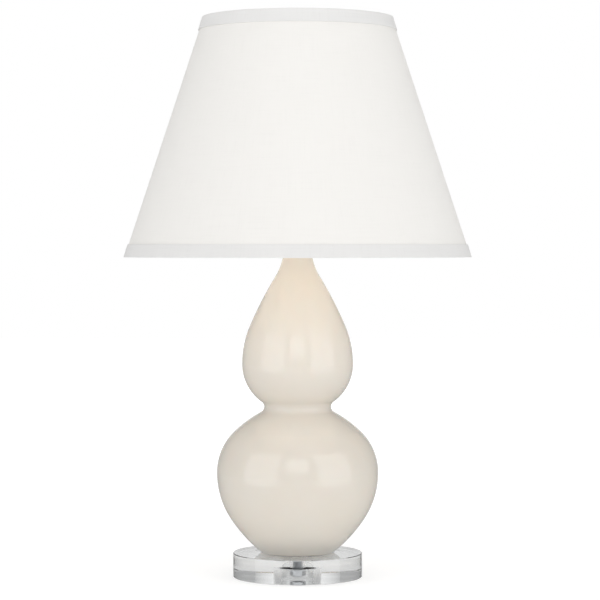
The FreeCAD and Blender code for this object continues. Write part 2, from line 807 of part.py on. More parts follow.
def harp_bow():
    """Bent wire, two mirrored halves whose ends meet the sides of the yoke."""
    body = new_body("HarpBow")
    path = new_sketch(body, "BowPath", "XZ_Plane")
    foot = spot_at("harp_foot_spread / 2", "0")
    knee = spot_at("harp_foot_spread / 2", "harp_foot_length")
    end = spot_at("yoke_length / 2", "bow_height")
    bend_radius = value("harp_foot_bend")
    side_radius = value("harp_side_radius")
    bend = knee + bend_radius
    side_across = value("harp_width / 2 - harp_side_radius")
    reach = bend_radius + side_radius
    side = complex(side_across, knee.imag + math.sqrt(reach ** 2 - (bend.real - side_across) ** 2))
    lead = end - side
    crown_radius = (side_radius ** 2 - abs(lead) ** 2) / (2 * (side_radius - lead.imag))
    crown = end - 1j * crown_radius
    bend_end = bend + (side - bend) / reach * bend_radius
    side_end = side + (crown - side) / abs(crown - side) * side_radius
    leg = add_line(path, foot, knee)
    bend_arc = add_arc(path, bend, -bend_radius, knee, bend_end)
    side_arc = add_arc(path, side, side_radius, bend_end, side_end)
    crown_arc = add_arc(path, crown, crown_radius, side_end, end)
    path.addConstraint(Constraint("Vertical", leg))
    pin(path, leg, 1, "harp_foot_spread / 2", "0")
    pin(path, leg, 2, up="harp_foot_length")
    path.addConstraint(Constraint("Tangent", leg, 2, bend_arc, 2))
    path.addConstraint(Constraint("Tangent", bend_arc, 1, side_arc, 1))
    path.addConstraint(Constraint("Tangent", side_arc, 2, crown_arc, 1))
    size(path, "Radius", "harp_foot_bend", bend_arc)
    size(path, "Radius", "harp_side_radius", side_arc)
    pin(path, side_arc, 3, across="harp_width / 2 - harp_side_radius")
    pin(path, crown_arc, 2, "yoke_length / 2", "bow_height")
    path.addConstraint(Constraint("Vertical", crown_arc, 3, crown_arc, 2))
    section = new_sketch(body, "BowSection", "XY_Plane")
    add_circle(section, "harp_foot_spread / 2", "0", "harp_wire / 2")
    mirrored(body, wire_along(body, path, section))
    place(body, up="leg_level")
    keep(body, "harp_bow")


def harp_yoke():
    """Block at the top of the bow with a vertical bore for the stud's shank."""
    bar = block("YokeBar", "yoke_length", "yoke_width", "yoke_height",
                up="seat_level - yoke_top - yoke_height")
    bore = rod("YokeBore", "shank_diameter / 2 + slip_gap", "yoke_height",
               up="seat_level - yoke_top - yoke_height")
    keep(combined("Cut", "Yoke", bar, bore), "harp_yoke")


def harp_sleeve(label, side):
    """Sleeve that locks a leg of the harp on its post."""
    outer = "sleeve_diameter / 2"
    turned(label, [
        ("sleeve_bore", "0"),
        (f"{outer} - sleeve_bevel", "0"),
        (outer, "sleeve_bevel"),
        (outer, "sleeve_length - sleeve_bevel"),
        (f"{outer} - sleeve_bevel", "sleeve_length"),
        ("sleeve_bore", "sleeve_length"),
    ], across=f"{side} * harp_foot_spread / 2", up="socket_level + slip_gap")


def harp_stud():
    """Swivel stud riveted through the yoke, with the seat of the shade and a threaded end."""
    shank_end = "yoke_top + yoke_height + slip_gap"
    pilot = "spider_washer_bore / 2 - slip_gap"
    turned("harp_stud", [
        ("0", f"-({shank_end}) - rivet_thickness"),
        ("rivet_diameter / 2", f"-({shank_end}) - rivet_thickness"),
        ("rivet_diameter / 2", f"-({shank_end})"),
        ("shank_diameter / 2", f"-({shank_end})"),
        ("shank_diameter / 2", "-seat_thickness"),
        ("seat_diameter / 2", "-seat_thickness"),
        ("seat_diameter / 2", "0"),
        (pilot, "0"),
        (pilot, "pilot_height"),
        ("stud_diameter / 2", "pilot_height"),
        ("stud_diameter / 2", "pilot_height + stud_length - stud_bevel"),
        ("stud_diameter / 2 - stud_bevel", "pilot_height + stud_length"),
        ("0", "pilot_height + stud_length"),
    ], up="seat_level")


# ------------------------------------------------------------------ socket

def socket_cap():
    """Domed cap screwed on the pipe, with a cross hole for its set screw."""
    outer = "shell_diameter / 2 + slip_gap + socket_cap_wall"
    inner = "shell_diameter / 2 + slip_gap"
    rim = "socket_cap_height + socket_cap_rim"
    dome = turned_body("CapDome", [
        ("thread_bore", "0"),
        ("socket_hub_diameter / 2", "0"),
        ("socket_hub_diameter / 2", "socket_hub_height", "socket_cap_dome"),
        (outer, "socket_cap_height"),
        (outer, rim),
        (inner, rim),
        (inner, "socket_cap_height", "-(socket_cap_dome - socket_cap_wall)"),
        ("socket_hub_diameter / 2", "socket_hub_height + socket_cap_wall"),
        ("thread_bore", "socket_hub_height + socket_cap_wall"),
    ], up="socket_level")
    hole = rod("SetScrewHole", "set_screw_diameter / 2 + thread_gap", "shell_diameter",
               up="socket_level + set_screw_height", aim=BACK)
    keep(combined("Cut", "CapWithHole", dome, hole), "socket_cap")


def socket_set_screw():
    """Small screw that locks the socket cap on the pipe."""
    head = "socket_hub_diameter / 2"
    turned("socket_set_screw", [
        ("0", "thread_bore"),
        ("set_screw_diameter / 2", "thread_bore"),
        ("set_screw_diameter / 2", head),
        ("set_screw_head / 2", head),
        ("set_screw_head / 2", f"{head} + set_screw_head_length"),
        ("0", f"{head} + set_screw_head_length"),
    ], up="socket_level + set_screw_height", aim=BACK)


def pierced_tube(label, inner, outer, bottom, height):
    """Tube of the socket with the switch's hole in its front."""
    tube = turned_body(f"{label}_tube", [
        (inner, "0"),
        (outer, "0"),
        (outer, height),
        (inner, height),
    ], up=f"socket_level + {bottom}")
    hole = rod(f"{label}_hole", "switch_hole_diameter / 2", "shell_diameter",
               up="socket_level + switch_height", aim=FRONT)
    keep(combined("Cut", f"{label}_cut", tube, hole), label)


def socket_core():
    """Insulating core: a flange under the screw shell, flats for the terminals, a cam chamber."""
    bottom = "socket_level + core_bottom"
    barrel = rod("CoreBarrel", "core_radius", "core_height - core_flange", up=bottom)
    slab = block("CoreSlab", "core_flat", "shell_diameter", "core_height - core_flange", up=bottom)
    flange = rod("CoreFlange", "core_radius", "core_flange", up="socket_level + core_top - core_flange")
    chamber = rod("CamChamber", "cam_diameter / 2 + cam_play", "shell_diameter",
                  back="-(cam_start - cam_play)", up="socket_level + switch_height", aim=FRONT)
    hole = rod("TerminalHole", "terminal_diameter / 2 + thread_gap", "core_flat",
               across="-core_flat / 2", up="socket_level + terminal_height", aim=RIGHT)
    waisted = combined("Common", "CoreWaisted", barrel, slab)
    whole = combined("Fuse", "CoreWhole", waisted, flange)
    chambered = combined("Cut", "CoreChambered", whole, chamber)
    keep(combined("Cut", "Core", chambered, hole), "socket_core")


def terminal_screws():
    """Two like screws, one in each flat of the core."""
    body = new_body("Terminals")
    sketch = new_sketch(body, "TerminalOutline", "XZ_Plane")
    flat = "core_flat / 2"
    outline(sketch, [
        (f"{flat} - terminal_length", "0"),
        (f"{flat} + terminal_head_length", "0"),
        (f"{flat} + terminal_head_length", "terminal_head / 2"),
        (flat, "terminal_head / 2"),
        (flat, "terminal_diameter / 2"),
        (f"{flat} - terminal_length", "terminal_diameter / 2"),
    ])
    mirrored(body, turn_sketch(body, sketch, "H_Axis"))
    place(body, up="socket_level + terminal_height")
    keep(body, "terminal_screws")


def socket_contacts():
    """Screw shell that takes the bulb's cap, and the leaf under the bulb's tip."""
    outer = "screw_shell_bore + screw_shell_wall"
    turned("socket_screw_shell", [
        ("screw_shell_hole / 2", "0"),
        (outer, "0"),
        (outer, "screw_shell_height"),
        ("screw_shell_bore", "screw_shell_height"),
        ("screw_shell_bore", "screw_shell_wall"),
        ("screw_shell_hole / 2", "screw_shell_wall"),
    ], up="socket_level + core_top")
    body = new_body("Leaf")
    sketch = new_sketch(body, "LeafOutline", "YZ_Plane")
    bend = "contact_foot - contact_back"
    outline(sketch, [
        ("-contact_back", "0"),
        (bend, "0"),
        (f"{bend} + contact_slope", "contact_rise"),
        ("contact_front", "contact_rise"),
        ("contact_front", "contact_rise + contact_thickness"),
        (f"{bend} + contact_slope - contact_thickness / 2", "contact_rise + contact_thickness"),
        (f"{bend} - contact_thickness / 2", "contact_thickness"),
        ("-contact_back", "contact_thickness"),
    ])
    extruded(body, sketch, "contact_width", midplane=True)
    place(body, up="socket_level + core_top")
    keep(body, "centre_contact")


# ------------------------------------------------------------------ switch

def switch():
    """Cam in the core, spindle through the socket's wall and the knob that turns them."""
    level = "socket_level + switch_height"
    bore = "spindle_diameter / 2 + thread_gap"
    turned("switch_cam", [
        (bore, "0"),
        ("cam_diameter / 2", "0"),
        ("cam_diameter / 2", "cam_length"),
        (bore, "cam_length"),
    ], back="-cam_start", up=level, aim=FRONT)
    turned("switch_spindle", [
        ("0", "0"),
        ("spindle_diameter / 2", "0"),
        ("spindle_diameter / 2", "spindle_length"),
        ("0", "spindle_length"),
    ], back="-cam_start", up=level, aim=FRONT)
    waist = "knob_diameter / 2 - knob_taper"
    depth = "knob_grip + thread_gap"
    turned("switch_knob", [
        (bore, "0"),
        ("knob_diameter / 2", "0"),
        (waist, "knob_length - knob_rounding", "knob_rounding"),
        (f"{waist} - knob_rounding", "knob_length"),
        ("0", "knob_length"),
        ("0", depth),
        (bore, depth),
    ], back="-knob_start", up=level, aim=FRONT)


# ------------------------------------------------------------------ bulb

def glass_wall(sketch, wall):
    """Line of the neck and arcs of neck and ball, set in by the wall; gives their edges."""
    neck_radius = value(f"bulb_neck_diameter / 2 - {wall}")
    ball_radius = value(f"bulb_diameter / 2 - {wall}")
    neck_top = complex(neck_radius, value("bulb_neck_top"))
    neck_foot = complex(neck_radius, value("bulb_neck_top - bulb_shoulder"))
    ball = complex(0, value("bulb_centre"))
    rise = (ball - neck_top).imag
    bend_radius = (neck_radius ** 2 + rise ** 2 - ball_radius ** 2) / (2 * (ball_radius - neck_radius))
    bend = neck_top + bend_radius
    joint = ball + (bend - ball) / abs(bend - ball) * ball_radius
    neck = add_line(sketch, neck_foot, neck_top)
    bend_arc = add_arc(sketch, bend, -bend_radius, neck_top, joint)
    ball_arc = add_arc(sketch, ball, ball_radius, joint, ball + 1j * ball_radius)
    sketch.addConstraint(Constraint("Vertical", neck))
    pin(sketch, neck, 1, f"bulb_neck_diameter / 2 - {wall}", "bulb_neck_top - bulb_shoulder")
    pin(sketch, neck, 2, up="bulb_neck_top")
    sketch.addConstraint(Constraint("Tangent", neck, 2, bend_arc, 2))
    sketch.addConstraint(Constraint("Tangent", bend_arc, 1, ball_arc, 1))
    pin(sketch, ball_arc, 3, "0", "bulb_centre")
    size(sketch, "Radius", f"bulb_diameter / 2 - {wall}", ball_arc)
    sketch.addConstraint(Constraint("PointOnObject", ball_arc, 2, -2))
    return neck, ball_arc


def bulb_glass():
    """Glass envelope, open at the tail that sits in the metal cap."""
    body = new_body("Glass")
    sketch = new_sketch(body, "GlassOutline", "XZ_Plane")
    outer_neck, outer_ball = glass_wall(sketch, "0")
    inner_neck, inner_ball = glass_wall(sketch, "bulb_wall")
    shoulder = "bulb_neck_top - bulb_shoulder"
    tail_top = f"{shoulder} - bulb_shoulder_drop"
    corners = [
        ("bulb_neck_diameter / 2 - bulb_wall", shoulder),
        ("bulb_tail_radius - bulb_wall", tail_top),
        ("bulb_tail_radius - bulb_wall", "bulb_tail"),
        ("bulb_tail_radius", "bulb_tail"),
        ("bulb_tail_radius", tail_top),
        ("bulb_neck_diameter / 2", shoulder),
    ]
    spots = [spot_at(*corner) for corner in corners]
    lines = [add_line(sketch, start, end) for start, end in zip(spots, spots[1:])]
    top = add_line(sketch, spot_at("0", "bulb_length"), spot_at("0", "bulb_length - bulb_wall"))
    for line, after in zip(lines, lines[1:]):
        sketch.addConstraint(Constraint("Coincident", line, 2, after, 1))
    for line, corner in zip(lines[1:], corners[1:]):
        pin(sketch, line, 1, *corner)
    for meeting in (
        (inner_neck, 1, lines[0], 1),
        (lines[-1], 2, outer_neck, 1),
        (outer_ball, 2, top, 1),
        (top, 2, inner_ball, 2),
    ):
        sketch.addConstraint(Constraint("Coincident", *meeting))
    turn_sketch(body, sketch)
    place(body, up="bulb_level")
    keep(body, "bulb_glass")


def bulb_base():
    """Metal cap, insulator and the soldered tip of the bulb."""
    cap = "bulb_cap_diameter / 2"
    hole = "insulator_diameter / 2"
    turned("bulb_cap", [
        (hole, "bulb_cap_bottom"),
        (cap, "bulb_cap_corner"),
        (cap, "bulb_cap_top"),
        (f"{cap} - bulb_cap_wall", "bulb_cap_top"),
        (f"{cap} - bulb_cap_wall", "bulb_cap_corner + bulb_cap_wall"),
        (hole, "bulb_cap_bottom + 2 * bulb_cap_wall"),
    ], up="bulb_level")
    turned("bulb_insulator", [
        ("0", "tip_height + seam_gap"),
        ("tip_diameter / 2", "tip_height + seam_gap"),
        (f"{hole} - seam_gap", "bulb_cap_bottom"),
        (f"{hole} - seam_gap", "bulb_cap_bottom + 2 * bulb_cap_wall"),
        ("0", "bulb_cap_bottom + 2 * bulb_cap_wall"),
    ], up="bulb_level")
    turned("bulb_tip_contact", [
        ("0", "0"),
        ("tip_diameter / 2 - tip_bevel", "0"),
        ("tip_diameter / 2", "tip_bevel"),
        ("tip_diameter / 2", "tip_height"),
        ("0", "tip_height"),
    ], up="bulb_level")


def bulb_inside():
    """Glass stem with its button, and the filament looped over it."""
    foot = "bulb_tail_radius - bulb_wall - slip_gap"
    turned("bulb_stem", [
        ("0", "bulb_tail"),
        (foot, "bulb_tail"),
        (foot, "bulb_tail + stem_foot_height", "-stem_flare_radius"),
        ("stem_waist_diameter / 2", "stem_waist_height"),
        ("stem_waist_diameter / 2", "stem_top - stem_button_height"),
        ("stem_button_diameter / 2", "stem_top - stem_button_height"),
        ("stem_button_diameter / 2", "stem_top"),
        ("0", "stem_top"),
    ], up="bulb_level")
    loop = doc.addObject("Part::Torus", "FilamentLoop")
    loop.setExpression("Radius1", bound("filament_radius"))
    loop.setExpression("Radius2", bound("filament_wire / 2"))
    loop.setExpression("Angle3", bound("180 deg + 2 * acos(filament_spread / 2 / filament_radius)"))
    start = -value("acos(filament_spread / 2 / filament_radius)")
    place(loop, up="bulb_level + filament_level",
          aim=FRONT.multiply(FreeCAD.Rotation(Vector(0, 0, 1), start)))
    keep(loop, "bulb_filament")


# ------------------------------------------------------------------ shade

def shade_skin(label, depth, thickness):
    """Cone of cloth or styrene, a depth inside the outer line of the shade."""
    top = f"shade_top_diameter / 2 - ({depth})"
    bottom = f"shade_bottom_diameter / 2 - ({depth})"
    turned(label, [
        (f"{bottom} - {thickness}", "0"),
        (bottom, "0"),
        (top, "shade_height"),
        (f"{top} - {thickness}", "shade_height"),
    ], up="shade_bottom")


def shade_trims():
    """Bands folded over the edges of the shade and round its wire rings."""
    top = "shade_top_diameter / 2"
    bottom = "shade_bottom_diameter / 2"
    band_top = f"{top} + shade_slope * trim_height + seam_gap"
    band_bottom = f"{bottom} - shade_slope * trim_height + seam_gap"
    edge = "seam_gap + trim_fold_thickness"
    top_lip = "top_ring_radius - ring_set"
    bottom_lip = "bottom_ring_radius - ring_set"
    turned("shade_top_trim", [
        (band_top, "-trim_height"),
        (f"{band_top} + trim_thickness", "-trim_height"),
        (f"{top} + seam_gap + trim_thickness", edge),
        (f"{top_lip} - trim_fold_thickness", edge),
        (f"{top_lip} - trim_fold_thickness", "-trim_fold"),
        (top_lip, "-trim_fold"),
        (top_lip, "seam_gap"),
        (f"{top} + seam_gap", "seam_gap"),
    ], up="shade_top")
    turned("shade_bottom_trim", [
        (f"{bottom} + seam_gap + trim_thickness", f"-({edge})"),
        (f"{band_bottom} + trim_thickness", "trim_height"),
        (band_bottom, "trim_height"),
        (f"{bottom} + seam_gap", "-seam_gap"),
        (bottom_lip, "-seam_gap"),
        (bottom_lip, "trim_fold"),
        (f"{bottom_lip} - trim_fold_thickness", "trim_fold"),
        (f"{bottom_lip} - trim_fold_thickness", f"-({edge})"),
    ], up="shade_bottom")


def shade_ring(label, radius, level):
    """Wire ring that holds an edge of the shade round."""
    ring = doc.addObject("Part::Torus", label)
    ring.setExpression("Radius1", bound(radius))
    ring.setExpression("Radius2", bound("ring_wire / 2"))
    place(ring, up=level)
    keep(ring, label)


def spider_arms():
    """Arms that run from the washer out under the top ring and turn up to it."""
    body = new_body("SpiderArms")
    path = new_sketch(body, "ArmPath", "XZ_Plane")
    hub = complex(value("spider_washer_diameter / 2"), 0)
    elbow = complex(value("top_ring_radius - arm_bend"), 0)
    bend = value("arm_bend")
    centre = elbow + 1j * bend
    run = add_line(path, hub, elbow)
    turn = add_arc(path, centre, bend, elbow, centre + bend)
    rise = add_line(path, centre + bend, complex(centre.real + bend, value("arm_rise")))
    pin(path, run, 1, "spider_washer_diameter / 2", "0")
    path.addConstraint(Constraint("Horizontal", run))
    path.addConstraint(Constraint("Tangent", run, 2, turn, 1))
    path.addConstraint(Constraint("Tangent", turn, 2, rise, 1))
    size(path, "Radius", "arm_bend", turn)
    path.addConstraint(Constraint("Vertical", rise))
    pin(path, rise, 2, "top_ring_radius", "arm_rise")
    section = new_sketch(body, "ArmSection", "YZ_Plane", offset="spider_washer_diameter / 2")
    add_circle(section, "0", "0", "arm_wire / 2")
    repeated(body, wire_along(body, path, section), "arm_count")
    place(body, up="seat_level + spider_washer_thickness / 2", aim=FIRST_ARM_BACK)
    keep(body, "spider_arms")


# ------------------------------------------------------------------ finial

def finial():
    """Turned knob with a threaded insert that screws down on the stud."""
    turned("finial_insert", [
        ("insert_bore", "0"),
        ("insert_radius", "0"),
        ("insert_radius", "insert_length"),
        ("insert_bore", "insert_length"),
    ], up="finial_level + insert_inset")
    bore = "insert_radius + seam_gap"
    turned("finial_knob", [
        (bore, "0"),
        ("finial_base_diameter / 2", "0"),
        ("finial_base_diameter / 2", "finial_base_height"),
        ("finial_neck_diameter / 2", "finial_neck_height", "finial_ball_radius"),
        ("finial_tip_diameter / 2", "finial_tip_level"),
        ("finial_tip_diameter / 2", "finial_height - finial_tip_bevel"),
        ("finial_tip_diameter / 2 - finial_tip_bevel", "finial_height"),
        ("0", "finial_height"),
        ("0", "finial_bore_depth"),
        (bore, "finial_bore_depth"),
    ], up="finial_level")


# ------------------------------------------------------------------ whole lamp

def build_lamp():
    """Makes every sub-part, from the bumpers up."""
    base_disc()
    base_bumpers()
    cord_bushing()
    washer("foot_gasket", "gasket_diameter", "gasket_thickness", "base_top",
           bore="pipe_diameter / 2 + pipe_hole_gap")
    lamp_pipe()
    washer("base_washer", "base_washer_diameter", "base_washer_thickness", "base_washer_level")
    washer("lock_washer", "lock_washer_diameter", "lock_washer_thickness", "lock_washer_level")
    lock_nuts()
    gourd_body()
    neck_fittings()
    harp_saddle()
    socket_cap()
    socket_set_screw()
    pierced_tube("socket_shell", "shell_bore", "shell_diameter / 2", "shell_bottom", "shell_height")
    pierced_tube("socket_liner", "liner_bore", "liner_radius", "shell_bottom", "shell_height - liner_sink")
    socket_core()
    terminal_screws()
    socket_contacts()
    switch()
    bulb_glass()
    bulb_base()
    bulb_inside()
    harp_bow()
    harp_yoke()
    harp_sleeve("harp_sleeve_left", -1)
    harp_sleeve("harp_sleeve_right", 1)
    harp_stud()
    washer("spider_washer", "spider_washer_diameter", "spider_washer_thickness", "seat_level",
           bore="spider_washer_bore / 2")
    spider_arms()
    shade_ring("shade_top_ring", "top_ring_radius", "shade_top - ring_set")
    shade_ring("shade_bottom_ring", "bottom_ring_radius", "shade_bottom + ring_set")
    shade_skin("shade_fabric", "0", "fabric_thickness")
    shade_skin("shade_liner", "fabric_thickness + seam_gap", "styrene_thickness")
    shade_trims()
    finial()


def check_and_write():
    """Stops on any failed object or bad shape, then writes one file for each sub-part."""
    doc.recompute()
    failed = [item.Label for item in doc.Objects if {"Invalid", "Error"} & set(item.State)]
    broken = [piece.Label for piece in sub_parts if piece.Shape.isNull() or not piece.Shape.isValid()]
    if failed or broken:
        raise RuntimeError(f"failed: {failed}, bad shape: {broken}")
    os.makedirs("parts", exist_ok=True)
    for piece in sub_parts:
        piece.Shape.exportStep(f"parts/{piece.Label}.step")
        print(f"{piece.Label}: {len(piece.Shape.Solids)} solid(s), {piece.Shape.Volume:.1f} mm3")


build_lamp()
check_and_write()
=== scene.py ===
"""Double gourd table lamp: cream glazed ceramic on a clear round base, under a white cloth shade.

Metres, +Z up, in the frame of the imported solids. The front is -Y. Solids whose shape is right keep
their mesh and get a finish. The cloth of the shade, screw threads, ribs, knurls and the small clear
parts of the foot are made here.
"""

import logging
import math
from dataclasses import dataclass
from enum import Enum
from functools import cache

import bmesh
import bpy
from mathutils import Matrix, Vector


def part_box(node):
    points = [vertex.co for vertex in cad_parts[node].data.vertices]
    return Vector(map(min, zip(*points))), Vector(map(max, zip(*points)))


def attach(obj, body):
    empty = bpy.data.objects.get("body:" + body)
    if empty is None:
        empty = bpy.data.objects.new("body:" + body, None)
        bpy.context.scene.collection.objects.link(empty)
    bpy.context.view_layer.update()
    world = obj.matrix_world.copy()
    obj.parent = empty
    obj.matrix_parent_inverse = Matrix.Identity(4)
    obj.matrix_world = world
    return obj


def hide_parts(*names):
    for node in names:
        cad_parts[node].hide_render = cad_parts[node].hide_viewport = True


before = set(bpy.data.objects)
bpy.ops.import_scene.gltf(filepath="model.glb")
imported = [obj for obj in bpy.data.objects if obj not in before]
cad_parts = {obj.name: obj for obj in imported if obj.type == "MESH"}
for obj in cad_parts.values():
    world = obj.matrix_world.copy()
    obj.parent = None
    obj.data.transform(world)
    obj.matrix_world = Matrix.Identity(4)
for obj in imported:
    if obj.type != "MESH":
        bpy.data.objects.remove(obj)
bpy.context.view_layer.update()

MM = 0.001
TURN = math.tau
WELD = 1e-6
AIR = 0.05 * MM  # left between clear pieces that touch, so that light sees both faces
CREASE = math.radians(35)  # steeper edges stay sharp
WAVE_RATE = 20  # radians that a wave texture turns for each unit of its scale
WEAVE_LEAN = 0.3  # share of the radius taken off the height where the weave is laid up the slant

Colour = tuple[float, float, float]
Spot = tuple[float, float]
Place = tuple[float, float, float]
Socket = bpy.types.NodeSocket

log = logging.getLogger("lamp")


# ------------------------------------------------------------------ material trees

class Chart(Enum):
    """What a pattern is laid out on."""

    OBJECT = "Object"
    CLOTH = "UV"


class Web:
    """Nodes and links of one tree."""

    def __init__(self, tree: bpy.types.NodeTree) -> None:
        """Wraps a tree.

        Args:
            tree: the tree of a material or of the world.
        """
        self.nodes = tree.nodes
        self.links = tree.links

    def add(self, kind: str, inputs: dict | None = None, **settings: object) -> bpy.types.Node:
        """Adds a node.

        Args:
            kind: type of the node.
            inputs: values or sockets for its inputs, by name or number.
            settings: properties of the node.

        Returns:
            The new node.
        """
        node = self.nodes.new(kind)
        for name, value in settings.items():
            setattr(node, name, value)
        for name, value in (inputs or {}).items():
            if isinstance(value, Socket):
                self.links.new(value, node.inputs[name])
            else:
                node.inputs[name].default_value = value
        return node

    def math(self, operation: str, first: Socket, last: Socket | float) -> Socket:
        """Joins two numbers."""
        return self.add("ShaderNodeMath", {0: first, 1: last}, operation=operation).outputs[0]

    def choose(self, fac: Socket, low: Socket | float, high: Socket | float) -> Socket:
        """Goes from one number at 0 to another at 1."""
        node = self.add("ShaderNodeMix", {"Factor": fac, "A": low, "B": high}, data_type="FLOAT")
        return node.outputs["Result"]

    def spread(self, value: Socket, source: Spot, target: Spot) -> Socket:
        """Carries a number from one range over to another, and stops at its ends.

        Args:
            value: the number.
            source: its range.
            target: the range of the result.

        Returns:
            Socket with the result.
        """
        node = self.add("ShaderNodeMapRange", {
            "Value": value,
            "From Min": source[0],
            "From Max": source[1],
            "To Min": target[0],
            "To Max": target[1],
        })
        return node.outputs["Result"]

    def axes(self, place: Socket) -> dict[str, Socket]:
        """The three parts of a place, by the letter of their axis."""
        split = self.add("ShaderNodeSeparateXYZ", {"Vector": place})
        return {letter: split.outputs[letter] for letter in "XYZ"}

    def reach(self, place: Socket) -> Socket:
        """Measures the distance from the lamp's axis.

        Args:
            place: the coordinates.

        Returns:
            Socket with the distance.
        """
        part = self.axes(place)
        flat = self.add("ShaderNodeCombineXYZ", {"X": part["X"], "Y": part["Y"]})
        return self.add("ShaderNodeVectorMath", {0: flat.outputs[0]}, operation="LENGTH").outputs["Value"]


class Tree(Web):
    """Node tree of one material, with its shader ready to be set."""

    def __init__(self, name: str, chart: Chart = Chart.OBJECT) -> None:
        """Starts a material.

        Args:
            name: name of the material.
            chart: coordinates that its patterns read.
        """
        self.material = bpy.data.materials.new(name)
        self.material.use_nodes = True
        super().__init__(self.material.node_tree)
        self.shader = self.nodes["Principled BSDF"]
        self.chart = chart

    def set(self, **values: object) -> None:
        """Sets the shader's own sockets; an underscore stands for a space."""
        for name, value in values.items():
            self.shader.inputs[name.replace("_", " ")].default_value = value

    def feed(self, name: str, socket: Socket) -> None:
        """Feeds one of the shader's sockets."""
        self.links.new(socket, self.shader.inputs[name])

    def place(self, stretch: Place = (1, 1, 1)) -> Socket:
        """Coordinates of the pattern, in metres.

        Args:
            stretch: scale along each axis.

        Returns:
            Socket with the coordinates.
        """
        where = self.add("ShaderNodeTexCoord").outputs[self.chart.value]
        return self.add("ShaderNodeMapping", {"Vector": where, "Scale": stretch}).outputs["Vector"]

    def noise(self, scale: float, detail: float = 2, stretch: Place = (1, 1, 1)) -> Socket:
        """Noise between 0 and 1.

        Args:
            scale: waves in a metre.
            detail: octaves.
            stretch: scale along each axis.

        Returns:
            Socket with the noise.
        """
        where = self.place(stretch)
        node = self.add("ShaderNodeTexNoise", {"Vector": where, "Scale": scale, "Detail": detail})
        return node.outputs["Fac"]

    def ridges(self, pitch: float, axis: str, wander: float) -> Socket:
        """Parallel threads or grooves.

        Args:
            pitch: distance from one to the next, in metres.
            axis: X, Y or Z, across the ridges.
            wander: how far they stray.

        Returns:
            Socket with the height between 0 and 1.
        """
        node = self.add("ShaderNodeTexWave", {
            "Vector": self.place(),
            "Scale": TURN / WAVE_RATE / pitch,
            "Distortion": wander,
            "Detail Scale": 2.0,
        }, wave_type="BANDS", bands_direction=axis)
        return node.outputs["Fac"]

    def range(self, fac: Socket, target: Spot) -> Socket:
        """Spreads 0 to 1 over a range of numbers."""
        return self.spread(fac, (0, 1), target)

    def shades(self, fac: Socket, first: Colour | Socket, last: Colour | Socket) -> Socket:
        """Runs from one colour to another.

        Args:
            fac: socket between 0 and 1.
            first: the colour at 0.
            last: the colour at 1.

        Returns:
            Socket with the colour.
        """
        ends = [end if isinstance(end, Socket) else (*end, 1) for end in (first, last)]
        node = self.add("ShaderNodeMix", {"Factor": fac, "A": ends[0], "B": ends[1]}, data_type="RGBA")
        return node.outputs["Result"]

    def sum(self, first: Socket, last: Socket) -> Socket:
        """Adds two numbers."""
        return self.math("ADD", first, last)

    def vary(self, colour: Colour, share: float, waves: float, detail: float = 3) -> None:
        """Lets the base colour wander to a darker one.

        Args:
            colour: the colour at its lightest.
            share: how much darker it gets.
            waves: of its wandering, in a metre.
            detail: octaves.
        """
        self.feed("Base Color", self.shades(self.noise(waves, detail), darker(colour, share), colour))

    def roughen(self, fac: Socket, middle: float, wander: Spot) -> None:
        """Lets the roughness wander.

        Args:
            fac: socket between 0 and 1.
            middle: the roughness that it wanders from.
            wander: how far down and up it goes.
        """
        self.feed("Roughness", self.range(fac, (middle + wander[0], middle + wander[1])))

    def bump(self, height: Socket, depth: float, strength: float) -> None:
        """Raises the surface.

        Args:
            height: socket between 0 and 1.
            depth: metres from low to high.
            strength: share of it that shows.
        """
        node = self.add("ShaderNodeBump", {"Height": height, "Distance": depth, "Strength": strength})
        self.feed("Normal", node.outputs["Normal"])


def darker(colour: Colour, share: float) -> Colour:
    """A colour made darker by a share of itself."""
    return tuple(part * (1 - share) for part in colour)


# ------------------------------------------------------------------ finishes

@dataclass(frozen=True)
class Glaze:
    """Glossy cream glaze, cloudy, wiped off the foot; a painted glow of the bulb's light makes it a little
    lighter up to the neck.
    """

    slot: str = "cream_glaze"
    # the colour at the neck carries a painted glow of the bulb's warm light; the low colour is the glaze at
    # the foot
    neck_glow_colour: Colour = (0.79, 0.73, 0.655)
    low_colour: Colour = (0.78, 0.73, 0.65)
    mottle: Colour = (0.795, 0.76, 0.695)
    biscuit: Colour = (0.72, 0.63, 0.51)
    neck: float = 338 * MM
    foot: float = 26.7 * MM
    cloud_waves: float = 26
    cloud_noise: Spot = (0.35, 0.75)
    cloud_share: Spot = (0, 0.5)
    gloss_waves: float = 60
    gloss: Spot = (0.06, 0.13)
    biscuit_roughness: float = 0.8
    index: float = 1.5
    milk: float = 0.06
    milk_depth: float = 4 * MM
    ripple_waves: float = 34
    ripple_depth: float = 0.4 * MM
    ripple_share: float = 0.25

    def material(self) -> bpy.types.Material:
        """Makes the glaze.

        Returns:
            Its material.
        """
        tree = Tree(self.slot)
        height = tree.axes(tree.place())["Z"]
        # painted glow: the colour grades from the foot up to the neck, standing in for the bulb's light
        # under the shade
        body = tree.shades(tree.spread(height, (0, self.neck), (0, 1)), self.low_colour, self.neck_glow_colour)
        clouds = tree.spread(tree.noise(self.cloud_waves, detail=5), self.cloud_noise, self.cloud_share)
        glazed = tree.shades(clouds, body, self.mottle)
        wiped = tree.math("LESS_THAN", height, self.foot)
        tree.feed("Base Color", tree.shades(wiped, glazed, self.biscuit))
        gloss = tree.range(tree.noise(self.gloss_waves), self.gloss)
        tree.feed("Roughness", tree.choose(wiped, gloss, self.biscuit_roughness))
        tree.set(IOR=self.index, Subsurface_Weight=self.milk, Subsurface_Scale=self.milk_depth)
        tree.bump(tree.noise(self.ripple_waves), self.ripple_depth, self.ripple_share)
        return tree.material


